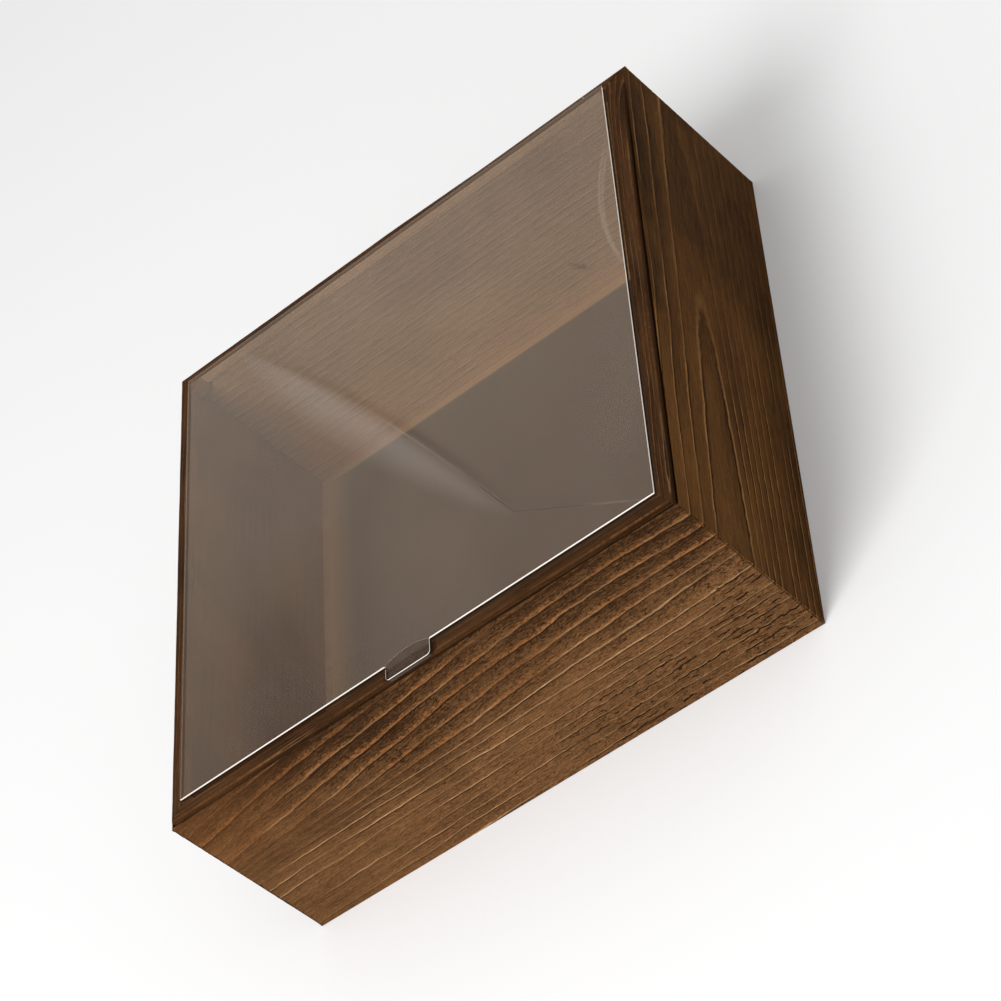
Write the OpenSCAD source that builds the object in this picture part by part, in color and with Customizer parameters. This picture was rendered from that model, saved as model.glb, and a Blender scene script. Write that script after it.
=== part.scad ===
// Keepsake box: four mitred boards, raised rim strips, a thin floor with a lining sheet,
// and a clear panel with a pull tab that lifts off.
// The origin is on the table, under the middle of the box. The pull tab points along -Y.

/* [Box] */
// Outside length of each side of the square box
side = 300; // [180:10:420]
// Height of the boards, from the table to their outer top edge
board_h = 100; // [60:5:200]
// Thickness of the boards
board_t = 8; // [6.5:0.5:12]
// Chamfer along the outer edges of the boards
arris = 0.4; // [0.2:0.1:0.8]

/* [Rim strips] */
// Width of the thin lip that the boards keep along their outer top edge
lip_w = 1; // [0.9:0.1:1.6]
// Width of the open groove between the lip and the strips
groove_w = 1.4; // [0.6:0.1:2]
// Depth of the step in the boards that the strips are glued into
step_d = 3; // [1.5:0.5:6]
// Height of the strips above the lip
strip_proud = 3; // [1.5:0.5:5]
// Chamfer along the top edges of the strips
strip_edge = 0.5; // [0.2:0.1:1]

/* [Lid] */
// Thickness of the clear panel
panel_t = 2.5; // [2:0.5:5]
// Gap between the panel's edges and the strips
lid_gap = 1.5; // [0.5:0.1:2.5]
// How far the panel sinks below the top of the strips
seat_d = 0.6; // [0.3:0.1:1]
// Width of the pull tab
tab_w = 26; // [16:1:60]
// How far the pull tab reaches past the panel's front edge
tab_reach = 8.5; // [6:0.5:14]
// Radius of the pull tab's outer corners
tab_r = 2; // [0.5:0.5:5]
// Gap on each side of the tab in its landing in the front strip
tab_gap = 0.5; // [0.2:0.1:1.5]
// Depth of the thumb relief in the top of the tab
relief_d = 0.4; // [0.2:0.1:0.8]
// How far the thumb relief reaches into the panel
relief_in = 3; // [1:0.5:8]

/* [Corner rests] */
// Length of each corner rest along the boards
rest_leg = 9; // [6:0.5:24]
// Height of the corner rests
rest_h = 8; // [4:1:30]

/* [Floor] */
// Thickness of the floor panel
floor_t = 3; // [2:0.5:6]
// Width of the step under the boards that holds the floor panel
floor_step = 4; // [3:0.5:6]
// Gap between the floor panel and the boards, all round
floor_gap = 0.2; // [0.1:0.1:0.5]
// Thickness of the lining sheet on the floor
lining_t = 0.8; // [0.4:0.1:2]
// Bare margin between the lining sheet and the boards
lining_margin = 5.5; // [1:0.5:20]

/* [Brads] */
// Diameter of the headless brads
brad_d = 1; // [0.8:0.1:1.4]
// Length of the brads
brad_l = 14; // [10:1:25]
// Clearance round each brad in its hole
brad_fit = 0.03; // [0.02:0.01:0.08]
// How far the brads are set below the tab's landing, and above the underside of the floor
brad_sink = 0.2; // [0.1:0.1:0.8]
// Brads along each side
brads_a_side = 3; // [2:1:6]
// Distance from the box's corners to the end brads
brad_inset = 25; // [15:1:50]

/* [Hidden] */

// Turns about Z that bring a piece made for the front to its own side
FRONT = 0;
RIGHT = 1;
BACK = 2;
LEFT = 3;

WOOD = "#5e4229";
RIM_WOOD = "#4a3220";
FLOOR_WOOD = "#6d553c";
LINING = "#4d423a";
STEEL = "#8d8a86";
CLEAR = [0.78, 0.76, 0.72, 0.4];

half = side / 2;
inner_half = half - board_t;
strip_w = board_t - lip_w - groove_w;
strip_outer = half - lip_w - groove_w;
strip_mid = strip_outer - strip_w / 2;
strip_base_z = board_h - step_d;
strip_top_z = board_h + strip_proud;
seat_z = strip_top_z - seat_d;
panel_half = inner_half - lid_gap;
floor_half = inner_half + floor_step - floor_gap;
floor_brad_line = inner_half + floor_step / 2;
lining_half = inner_half - lining_margin;
brad_r = brad_d / 2;
brad_span = side - 2 * brad_inset;
relief_half = tab_w / 2 + tab_gap;
relief_r = (relief_half * relief_half + relief_in * relief_in) / (2 * relief_in);
// Enough height for a cut to pass right through what it cuts
past = 1;
smooth = 48;
fine = 180;

// Places what follows on one side of the box
module on_side(turn) {
    rotate([0, 0, 90 * turn]) children();
}

// Sweeps a profile, drawn as distance from the middle and height, along the front
module along_front(profile) {
    rotate([90, 0, 90])
        linear_extrude(height = side, center = true)
            polygon([for (p = profile) [-p[0], p[1]]]);
}

// The quarter of the plan that belongs to the front, cut at 45 degrees for the mitres
module front_quarter() {
    linear_extrude(height = strip_top_z)
        polygon([[-half, -half], [half, -half], [0, 0]]);
}

// Upright brads along the front, at one distance from the middle
module brad_row(line, base_z, length, radius) {
    for (i = [0 : brads_a_side - 1])
        translate([brad_span * (i / (brads_a_side - 1) - 0.5), -line, base_z])
            cylinder(r = radius, h = length, $fn = smooth);
}

// The floor's brads, or their holes where grow is 1 and not 0
module floor_brad_row(grow) {
    brad_row(floor_brad_line, brad_sink - past * grow, brad_l + past * grow,
             brad_r + brad_fit * grow);
}

// The strips' brads, or their holes where grow is 1 and not 0
module strip_brad_row(grow) {
    brad_row(strip_mid, seat_z - brad_sink - brad_l,
             brad_l + (brad_sink + seat_d + past) * grow, brad_r + brad_fit * grow);
}

// One side board, with its lip and step at the top and the floor's step at the bottom
module board(turn) {
    on_side(turn) color(WOOD) difference() {
        intersection() {
            along_front([
                [half - arris, 0],
                [inner_half + floor_step, 0],
                [inner_half + floor_step, floor_t],
                [inner_half, floor_t],
                [inner_half, strip_base_z],
                [half - lip_w, strip_base_z],
                [half - lip_w, board_h],
                [half - arris, board_h],
                [half, board_h - arris],
                [half, arris]
            ]);
            front_quarter();
        }
        floor_brad_row(1);
        strip_brad_row(1);
    }
}

// One rim strip, glued into the step of its board
module strip(turn) {
    on_side(turn) color(RIM_WOOD) difference() {
        intersection() {
            along_front([
                [strip_outer, strip_base_z],
                [inner_half, strip_base_z],
                [inner_half, strip_top_z - strip_edge],
                [inner_half + strip_edge, strip_top_z],
                [strip_outer - strip_edge, strip_top_z],
                [strip_outer, strip_top_z - strip_edge]
            ]);
            front_quarter();
        }
        strip_brad_row(1);
        if (turn == FRONT) tab_landing();
    }
}

// The shallow flat in the front strip that the pull tab lies on
module tab_landing() {
    landing_w = tab_w + 2 * tab_gap;
    translate([-landing_w / 2, -strip_outer - past, seat_z])
        cube([landing_w, strip_w + 2 * past, seat_d + past]);
}

module floor_panel() {
    color(FLOOR_WOOD) difference() {
        translate([-floor_half, -floor_half, 0])
            cube([2 * floor_half, 2 * floor_half, floor_t]);
        for (turn = [FRONT : LEFT]) on_side(turn) floor_brad_row(1);
    }
}

module floor_lining() {
    color(LINING) translate([-lining_half, -lining_half, floor_t])
        cube([2 * lining_half, 2 * lining_half, lining_t]);
}

module floor_brads() {
    color(STEEL) for (turn = [FRONT : LEFT]) on_side(turn) floor_brad_row(0);
}

module strip_brads() {
    color(STEEL) for (turn = [FRONT : LEFT]) on_side(turn) strip_brad_row(0);
}

// A small three-cornered block glued into the corner at the left end of a side
module rest(turn) {
    on_side(turn) color(RIM_WOOD) translate([-inner_half, -inner_half, seat_z - rest_h])
        linear_extrude(height = rest_h)
            polygon([[0, 0], [rest_leg, 0], [0, rest_leg]]);
}

// Plan of the pull tab, with rounded outer corners
module tab_plan() {
    tip = -panel_half - tab_reach;
    round_x = tab_w / 2 - tab_r;
    translate([-tab_w / 2, tip + tab_r]) square([tab_w, tab_reach - tab_r + past]);
    translate([-round_x, tip]) square([2 * round_x, tab_r + past]);
    for (x = [-round_x, round_x]) translate([x, tip + tab_r]) circle(r = tab_r, $fn = smooth);
}

module lid_panel() {
    color(CLEAR) difference() {
        translate([0, 0, seat_z]) linear_extrude(height = panel_t) {
            square(2 * panel_half, center = true);
            tab_plan();
        }
        translate([0, relief_in - relief_r - panel_half, seat_z + panel_t - relief_d])
            cylinder(r = relief_r, h = relief_d + past, $fn = fine);
    }
}

board(FRONT);  // front_board
board(RIGHT);  // right_board
board(BACK);  // back_board
board(LEFT);  // left_board
strip(FRONT);  // front_strip
strip(RIGHT);  // right_strip
strip(BACK);  // back_strip
strip(LEFT);  // left_strip
floor_panel();
floor_lining();
floor_brads();
strip_brads();
rest(FRONT);  // front_left_rest
rest(RIGHT);  // front_right_rest
rest(BACK);  // back_right_rest
rest(LEFT);  // back_left_rest
lid_panel();
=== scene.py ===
"""Looks of a square keepsake box: brushed and stained boards, rim strips and a clear lid."""
import logging
import math
from collections.abc import Callable
from dataclasses import dataclass, replace
from enum import Enum

import bpy
import numpy as np
from mathutils import Matrix, Vector


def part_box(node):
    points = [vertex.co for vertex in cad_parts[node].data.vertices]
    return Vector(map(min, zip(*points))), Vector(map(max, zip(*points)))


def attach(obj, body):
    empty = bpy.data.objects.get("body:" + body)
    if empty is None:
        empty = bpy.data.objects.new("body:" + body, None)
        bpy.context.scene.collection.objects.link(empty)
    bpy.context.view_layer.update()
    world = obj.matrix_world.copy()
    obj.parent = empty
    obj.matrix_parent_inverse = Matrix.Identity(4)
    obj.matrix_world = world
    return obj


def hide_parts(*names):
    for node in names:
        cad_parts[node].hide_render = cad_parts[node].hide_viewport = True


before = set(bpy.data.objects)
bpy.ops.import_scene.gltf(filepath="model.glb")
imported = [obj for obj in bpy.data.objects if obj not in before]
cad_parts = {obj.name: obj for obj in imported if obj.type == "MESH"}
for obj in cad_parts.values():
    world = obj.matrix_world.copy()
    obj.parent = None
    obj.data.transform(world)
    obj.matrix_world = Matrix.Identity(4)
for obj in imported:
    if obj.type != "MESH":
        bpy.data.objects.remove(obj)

log = logging.getLogger("keepsake_box")

MM = 0.001
TINY = 1e-6
GRAIN_UV = "grain"
ZONES = ("lines", "lumps", "cracks", "tone", "nap", "across", "warm")
# Parts that a fine grid is cut into first
QUARTERS = 4
# Range that a noise texture mostly keeps to
NOISE_LOW = 0.3
NOISE_HIGH = 0.7
# Large factors that scatter neighbouring lattice points
SCATTER_U = 374761393
SCATTER_V = 668265263
SCATTER_SEED = 974634777
SCATTER_LAST = 1274126177
LOW_32_BITS = 0xFFFFFFFF
LOW_16_BITS = 0xFFFF

Colour = tuple[float, float, float]
Socket = bpy.types.NodeSocket
Input = Socket | float


class Side(Enum):
    """The four sides of the box, as quarter turns about Z from the front."""

    FRONT = 0
    RIGHT = 1
    BACK = 2
    LEFT = 3

    @property
    def turn(self) -> Matrix:
        """Rotation that brings a piece made for the front to this side."""
        return Matrix.Rotation(math.radians(90.0 * self.value), 4, "Z")

    def node(self, kind: str) -> str:
        """Name of this side's frame node of the given kind, such as front_board."""
        return f"{self.name.lower()}_{kind}"


@dataclass(frozen=True)
class BoxSizes:
    """Sizes of the construction, read from the frame in metres."""

    half: float
    board_t: float
    board_h: float
    floor_t: float
    lining_half: float
    lining_t: float
    strip_outer: float
    strip_base: float
    strip_top: float
    panel_half: float
    panel_base: float
    panel_top: float
    tab_tip: float
    lip_w: float = 1.0 * MM
    tab_w: float = 26.0 * MM
    tab_r: float = 2.0 * MM
    floor_step: float = 4.0 * MM

    @classmethod
    def from_frame(cls) -> "BoxSizes":
        """Reads the sizes from the boxes of the frame's nodes.

        Returns:
            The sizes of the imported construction.
        """
        board_low, board_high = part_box("front_board")
        strip_low, strip_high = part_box("front_strip")
        floor_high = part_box("floor_panel")[1]
        lining_low, lining_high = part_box("floor_lining")
        lid_low, lid_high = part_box("lid_panel")
        return cls(
            half=board_high[0],
            board_t=board_high[1] - board_low[1],
            board_h=board_high[2],
            floor_t=floor_high[2],
            lining_half=lining_high[0],
            lining_t=lining_high[2] - lining_low[2],
            strip_outer=-strip_low[1],
            strip_base=strip_low[2],
            strip_top=strip_high[2],
            panel_half=lid_high[0],
            panel_base=lid_low[2],
            panel_top=lid_high[2],
            tab_tip=-lid_low[1],
        )

    @property
    def inner_half(self) -> float:
        """Distance from the middle to the inside faces of the boards."""
        return self.half - self.board_t


def value_noise(u: np.ndarray, v: np.ndarray, seed: int) -> np.ndarray:
    """Smooth noise on a lattice of whole numbers.

    Args:
        u: First coordinate of each point.
        v: Second coordinate of each point.
        seed: Picks one of many different patterns.

    Returns:
        One value from -1 to 1 for each point.
    """
    def corner(i: np.ndarray, j: np.ndarray) -> np.ndarray:
        """Mixes a lattice point's numbers into a repeatable value.

        Args:
            i: First number of each point.
            j: Second number of each point.

        Returns:
            One value from -1 to 1 for each point.
        """
        mixed = (i * SCATTER_U + j * SCATTER_V + seed * SCATTER_SEED) & LOW_32_BITS
        mixed = ((mixed ^ (mixed >> 13)) * SCATTER_LAST) & LOW_32_BITS
        return ((mixed ^ (mixed >> 16)) & LOW_16_BITS) / (LOW_16_BITS / 2) - 1.0

    cell_u, cell_v = np.floor(u).astype(np.int64), np.floor(v).astype(np.int64)
    part_u, part_v = u - cell_u, v - cell_v
    ease_u = part_u * part_u * (3.0 - 2.0 * part_u)
    ease_v = part_v * part_v * (3.0 - 2.0 * part_v)
    low = corner(cell_u, cell_v) * (1 - ease_u) + corner(cell_u + 1, cell_v) * ease_u
    high = corner(cell_u, cell_v + 1) * (1 - ease_u) + corner(cell_u + 1, cell_v + 1) * ease_u
    return low * (1 - ease_v) + high * ease_v


def deselect_everything() -> None:
    """Leaves no object selected, so that operators act on the new piece alone."""
    if bpy.context.object and bpy.context.object.mode != "OBJECT":
        bpy.ops.object.mode_set(mode="OBJECT")
    bpy.ops.object.select_all(action="DESELECT")


def take_up(piece: bpy.types.Object) -> None:
    """Makes one object the selected and active one.

    Args:
        piece: The object to work on.
    """
    deselect_everything()
    piece.select_set(True)
    bpy.context.view_layer.objects.active = piece


def place_in_mesh(piece: bpy.types.Object) -> None:
    """Puts an object's place into its mesh, so that the object sits at the origin.

    Args:
        piece: The object to settle.
    """
    take_up(piece)
    bpy.ops.object.transform_apply(location=True, rotation=True, scale=True)


def in_edit(piece: bpy.types.Object, mode: str = "VERT") -> None:
    """Opens a mesh in edit mode with nothing selected.

    Args:
        piece: The object to edit.
        mode: Which elements are selected: VERT, EDGE or FACE.
    """
    take_up(piece)
    bpy.ops.object.mode_set(mode="EDIT")
    bpy.ops.mesh.select_mode(type=mode)
    bpy.ops.mesh.select_all(action="DESELECT")


def select_edges(piece: bpy.types.Object, wanted: Callable[[Vector, Vector], bool]) -> int:
    """Selects the edges of an edited mesh that pass a test on their two ends.

    Args:
        piece: The object in edit mode.
        wanted: Function of the two end points that says whether the edge is taken.

    Returns:
        How many edges are selected.
    """
    bpy.ops.object.mode_set(mode="OBJECT")
    mesh = piece.data
    for face in mesh.polygons:
        face.select = False
    for point in mesh.vertices:
        point.select = False
    count = 0
    for edge in mesh.edges:
        ends = [mesh.vertices[i].co for i in edge.vertices]
        edge.select = bool(wanted(ends[0], ends[1]))
        count += edge.select
    bpy.ops.object.mode_set(mode="EDIT")
    bpy.ops.mesh.select_mode(type="EDGE")
    return count


def select_faces(piece: bpy.types.Object, wanted: Callable[[Vector, Vector], bool]) -> int:
    """Selects the faces of an edited mesh that pass a test on centre and normal.

    Args:
        piece: The object in edit mode.
        wanted: Function of a face's centre and normal that says whether it is taken.

    Returns:
        How many faces are selected.
    """
    bpy.ops.object.mode_set(mode="OBJECT")
    mesh = piece.data
    for point in mesh.vertices:
        point.select = False
    for edge in mesh.edges:
        edge.select = False
    count = 0
    for face in mesh.polygons:
        face.select = bool(wanted(face.center, face.normal))
        count += face.select
    bpy.ops.object.mode_set(mode="EDIT")
    bpy.ops.mesh.select_mode(type="FACE")
    return count


def slice_all(place: tuple[float, float, float], normal: tuple[float, float, float],
              trim: bool = False) -> None:
    """Cuts the whole edited mesh along a plane.

    Args:
        place: A point of the plane.
        normal: The plane's normal.
        trim: Whether the side that the normal points to is taken off and the cut closed.
    """
    bpy.ops.mesh.select_all(action="SELECT")
    bpy.ops.mesh.bisect(plane_co=place, plane_no=normal, use_fill=trim, clear_outer=trim,
                        threshold=TINY)


def cut_mitres(half: float) -> None:
    """Cuts both ends of the edited piece at 45 degrees.

    Args:
        half: Half the outer length of the piece, which lies at the front.
    """
    for way in (1.0, -1.0):
        slice_all((way * half, -half, 0), (way, 1, 0), trim=True)


def cut_away(piece: bpy.types.Object, cutter: bpy.types.Object, name: str) -> None:
    """Cuts one solid out of another and removes the cutter.

    Args:
        piece: The object that is cut.
        cutter: The solid that is taken out of it.
        name: Name of the cut.
    """
    take_up(piece)
    cut = piece.modifiers.new(name, "BOOLEAN")
    cut.operation = "DIFFERENCE"
    cut.object = cutter
    cut.solver = "EXACT"
    bpy.ops.object.modifier_apply(modifier=cut.name)
    bpy.data.objects.remove(cutter)


def coordinates(piece: bpy.types.Object) -> np.ndarray:
    """Reads the mesh's points.

    Args:
        piece: A mesh object.

    Returns:
        One row of x, y and z for each point, in metres.
    """
    points = np.empty(len(piece.data.vertices) * 3)
    piece.data.vertices.foreach_get("co", points)
    return points.reshape(-1, 3)


def write_coordinates(piece: bpy.types.Object, points: np.ndarray) -> None:
    """Moves the mesh's points.

    Args:
        piece: A mesh object.
        points: One row of x, y and z for each point.
    """
    piece.data.vertices.foreach_set("co", points.ravel())
    piece.data.update()


def write_grain(piece: bpy.types.Object, along: np.ndarray, count: np.ndarray,
                zones: dict[str, np.ndarray]) -> None:
    """Stores the grain's flow as a UV map and its zones as attributes.

    Args:
        piece: A mesh object.
        along: Millimetres along the grain at each point.
        count: Ring count at each point.
        zones: Value of each zone at each point.
    """
    mesh = piece.data
    layer = mesh.uv_layers.new(name=GRAIN_UV)
    corner_points = np.empty(len(mesh.loops), dtype=np.int32)
    mesh.loops.foreach_get("vertex_index", corner_points)
    flow = np.stack([along, count], axis=1)
    layer.data.foreach_set("uv", flow[corner_points].astype(np.float32).ravel())
    for name in ZONES:
        attribute = mesh.attributes.new(name=name, type="FLOAT", domain="POINT")
        attribute.data.foreach_set("value", zones[name].astype(np.float32))


def copy_piece(piece: bpy.types.Object, name: str) -> bpy.types.Object:
    """Copies an object with a mesh of its own.

    Args:
        piece: The object to copy.
        name: Name of the copy.

    Returns:
        The copy, linked into the scene.
    """
    twin = piece.copy()
    twin.data = piece.data.copy()
    twin.name = name
    twin.data.name = name
    bpy.context.collection.objects.link(twin)
    return twin


def finish_smooth(piece: bpy.types.Object, angle: float = 40.0) -> None:
    """Shades a piece smooth up to an angle between its faces.

    Args:
        piece: The object to shade.
        angle: Largest smoothed angle, in degrees.
    """
    take_up(piece)
    bpy.ops.object.shade_smooth_by_angle(angle=math.radians(angle))


class NodeSheet:
    """A node tree with short ways to add and join nodes."""

    def __init__(self, tree: bpy.types.NodeTree) -> None:
        """Keeps the tree to work on."""
        self.tree = tree

    def fill(self, node: bpy.types.Node, **inputs: Input | tuple) -> None:
        """Fills a node's inputs with values or links.

        Args:
            node: The node.
            inputs: Input name, with spaces as underscores, or a number as in_0, and its value.
        """
        for key, value in inputs.items():
            place = int(key[3:]) if key.startswith("in_") else key.replace("_", " ")
            if isinstance(value, bpy.types.NodeSocket):
                self.tree.links.new(value, node.inputs[place])
            else:
                node.inputs[place].default_value = value

    def add(self, kind: str, settings: dict | None = None, **inputs: Input | tuple) -> bpy.types.Node:
        """Adds a node and fills its inputs with values or links.

        Args:
            kind: Blender's name of the node type.
            settings: Properties of the node itself.
            inputs: Input name, with spaces as underscores, or a number as in_0, and its value.

        Returns:
            The new node.
        """
        node = self.tree.nodes.new(kind)
        for key, value in (settings or {}).items():
            setattr(node, key, value)
        self.fill(node, **inputs)
        return node

    def math(self, operation: str, first: Input, second: Input = 0.0, third: Input = 0.0,
             clamp: bool = False) -> Socket:
        """Adds a Math node.

        Args:
            operation: Blender's name of the operation.
            first: First value.
            second: Second value, where the operation has one.
            third: Third value, where the operation has one.
            clamp: Whether the result is kept from 0 to 1.

        Returns:
            The result's socket.
        """
        node = self.add("ShaderNodeMath", {"operation": operation, "use_clamp": clamp},
                        in_0=first, in_1=second, in_2=third)
        return node.outputs[0]

    def bell(self, value: Input, middle: float = 0.0, width: float = 1.0) -> Socket:
        """Draws a bell-shaped curve of a value.

        Args:
            value: The value.
            middle: Where the bell is highest, which is 1.
            width: Distance from there at which it has fallen to 1/e.

        Returns:
            The bell's socket.
        """
        away = self.math("DIVIDE", self.math("SUBTRACT", value, middle), width)
        return self.math("EXPONENT", self.math("MULTIPLY", self.math("MULTIPLY", away, away), -1.0))

    def mix(self, factor: Input, first: Input | tuple, second: Input | tuple) -> Socket:
        """Mixes two colours.

        Args:
            factor: Share of the second colour.
            first: First colour, with its alpha.
            second: Second colour, with its alpha.

        Returns:
            The mixed colour's socket.
        """
        node = self.add("ShaderNodeMix", {"data_type": "RGBA"}, in_0=factor, in_6=first, in_7=second)
        return node.outputs[2]

    def ramp(self, value: Input, stops: list[tuple[float, Colour]]) -> Socket:
        """Adds a colour ramp.

        Args:
            value: Where on the ramp to read.
            stops: Place and colour of each stop.

        Returns:
            The colour's socket.
        """
        node = self.add("ShaderNodeValToRGB", in_0=value)
        elements = node.color_ramp.elements
        while len(elements) < len(stops):
            elements.new(0.5)
        for element, (place, colour) in zip(elements, stops):
            element.position = place
            element.color = (*colour, 1.0)
        return node.outputs[0]

    def rescale(self, value: Input, low: Input, high: Input, to_low: float = 0.0,
                to_high: float = 1.0) -> Socket:
        """Maps one range to another and clamps at its ends.

        Args:
            value: The value.
            low: Start of its range.
            high: End of its range.
            to_low: Result at the start.
            to_high: Result at the end.

        Returns:
            The result's socket.
        """
        node = self.add("ShaderNodeMapRange", {"clamp": True}, in_0=value, in_1=low, in_2=high,
                        in_3=to_low, in_4=to_high)
        return node.outputs[0]

    def vector(self, operation: str, first: Socket, second: tuple[float, float, float]) -> Socket:
        """Adds a Vector Math node.

        Args:
            operation: Blender's name of the operation.
            first: Socket of the first vector.
            second: The second vector.

        Returns:
            The resulting vector's socket.
        """
        node = self.add("ShaderNodeVectorMath", {"operation": operation}, in_0=first, in_1=second)
        return node.outputs[0]

    def stretched(self, vector: Socket, scale: tuple[float, float, float]) -> Socket:
        """Scales a vector unevenly, as a grain is stretched, and returns its socket."""
        return self.vector("MULTIPLY", vector, scale)

    def length(self, vector: Socket) -> Socket:
        """Measures a vector and returns the socket of its length."""
        node = self.add("ShaderNodeVectorMath", {"operation": "LENGTH"}, in_0=vector)
        return node.outputs["Value"]

    def axis(self, vector: Socket, number: int) -> Socket:
        """Takes one coordinate of a vector, 0 for X to 2 for Z, and returns its socket."""
        return self.add("ShaderNodeSeparateXYZ", in_0=vector).outputs[number]

    def noise(self, vector: Socket, scale: float, detail: float = 2.0, roughness: float = 0.5,
              distortion: float = 0.0) -> Socket:
        """Adds a Noise Texture.

        Args:
            vector: Socket of the place to read.
            scale: How small the pattern is.
            detail: How many finer layers it has.
            roughness: Strength of the finer layers.
            distortion: How much it curls.

        Returns:
            The noise's socket, with values near 0.5.
        """
        node = self.add("ShaderNodeTexNoise", Vector=vector, Scale=scale, Detail=detail,
                        Roughness=roughness, Distortion=distortion)
        return node.outputs[0]

    def bump(self, height: Socket, strength: float, distance: float) -> Socket:
        """Adds a Bump node.

        Args:
            height: Socket of the relief's height.
            strength: How much of the relief shows.
            distance: Real height of a step of 1, in metres.

        Returns:
            The normal's socket.
        """
        return self.add("ShaderNodeBump", Strength=strength, Distance=distance,
                        Height=height).outputs[0]


def new_group(name: str, inputs: dict[str, str],
              outputs: dict[str, str]) -> tuple[NodeSheet, bpy.types.Node, bpy.types.Node]:
    """Starts a shader node group with named sockets.

    Args:
        name: Name of the group.
        inputs: Socket name and socket type of each input.
        outputs: Socket name and socket type of each output.

    Returns:
        The group's sheet, its input node and its output node.
    """
    tree = bpy.data.node_groups.new(name, "ShaderNodeTree")
    for socket, kind in inputs.items():
        tree.interface.new_socket(socket, in_out="INPUT", socket_type=kind)
    for socket, kind in outputs.items():
        tree.interface.new_socket(socket, in_out="OUTPUT", socket_type=kind)
    sheet = NodeSheet(tree)
    return sheet, sheet.add("NodeGroupInput"), sheet.add("NodeGroupOutput")


def new_material(name: str) -> tuple[bpy.types.Material, NodeSheet, bpy.types.Node, Socket]:
    """Starts a material that is read from object coordinates.

    Args:
        name: Name of the material.

    Returns:
        The material, its sheet, its shader and the socket of the object coordinates.
    """
    material = bpy.data.materials.new(name)
    material.use_nodes = True
    sheet = NodeSheet(material.node_tree)
    shader = material.node_tree.nodes["Principled BSDF"]
    return material, sheet, shader, sheet.add("ShaderNodeTexCoord").outputs["Object"]


def build_grain_group() -> bpy.types.NodeTree:
    """Makes the group that draws year rings, lumps, cracks and felt on brushed wood.

    Returns:
        The node group. Its Flow input holds millimetres along the grain and rings across it, and
        its Across input the millimetres that the fibres count across the board.
    """
    names = ("Bright Line", "Dark Line", "Band", "Crumble", "Felt", "Fibre", "Ring Shade", "Fray")
    sheet, given, result = new_group(
        "brushed_grain",
        {"Flow": "NodeSocketVector", "Ring Width": "NodeSocketFloat", "Across": "NodeSocketFloat",
         "Seed": "NodeSocketFloat"},
        {name: "NodeSocketFloat" for name in names},
    )
    apart = sheet.add("ShaderNodeSeparateXYZ", in_0=given.outputs["Flow"])
    along, rings = apart.outputs[0], apart.outputs[1]
    across = sheet.math("MULTIPLY", rings, given.outputs["Ring Width"])
    flow = sheet.add("ShaderNodeCombineXYZ", in_0=along, in_1=across,
                     in_2=given.outputs["Seed"]).outputs[0]
    fibres = sheet.add("ShaderNodeCombineXYZ", in_0=along, in_1=given.outputs["Across"],
                       in_2=given.outputs["Seed"]).outputs[0]
    jitter = sheet.noise(sheet.stretched(flow, (0.16, 0.4, 1.0)), 1.0, 2.0, 0.5)
    jitter_reach = 0.10
    jitter_mean = jitter_reach / 2
    place = sheet.math("FRACT", sheet.math("MULTIPLY_ADD", jitter, jitter_reach, rings))
    ring_shade = sheet.math("FRACT", sheet.math("SUBTRACT", place, 0.49))
    curls = sheet.noise(sheet.stretched(fibres, (0.20, 0.80, 1.0)), 1.0, 3.0, 0.60, 1.5)
    curls = sheet.math("ABSOLUTE", sheet.math("SUBTRACT", curls, 0.5))
    sheet.fill(
        result,
        Bright_Line=sheet.bell(place, 0.50 + jitter_mean, 0.054),
        Dark_Line=sheet.bell(place, 0.400 + jitter_mean, 0.058),
        Band=sheet.bell(ring_shade, width=0.30),
        Crumble=sheet.noise(sheet.stretched(flow, (0.42, 1.05, 1.0)), 1.0, 4.0, 0.68, 0.6),
        Ring_Shade=ring_shade,
        Felt=sheet.rescale(curls, 0.0, 0.20, 1.0, 0.0),
        Fibre=sheet.noise(sheet.stretched(fibres, (0.05, 1.9, 1.0)), 1.0, 4.0, 0.6),
        Fray=sheet.noise(sheet.stretched(flow, (0.8, 2.6, 1.0)), 1.0, 4.0, 0.65),
    )
    return sheet.tree


def build_wear_group() -> bpy.types.NodeTree:
    """Makes the group of slow stain blotches and fine settled dust.

    Returns:
        The node group. Its Place input is in metres.
    """
    sheet, given, result = new_group(
        "stain_and_dust",
        {"Place": "NodeSocketVector"},
        {"Blotch": "NodeSocketFloat", "Dust": "NodeSocketFloat"},
    )
    place = given.outputs["Place"]
    specks = sheet.noise(place, 420.0, 1.0, 0.5)
    sheet.fill(result, Blotch=sheet.noise(place, 14.0, 3.0, 0.55, 0.4),
               Dust=sheet.rescale(specks, 0.80, 0.83))
    return sheet.tree


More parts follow.
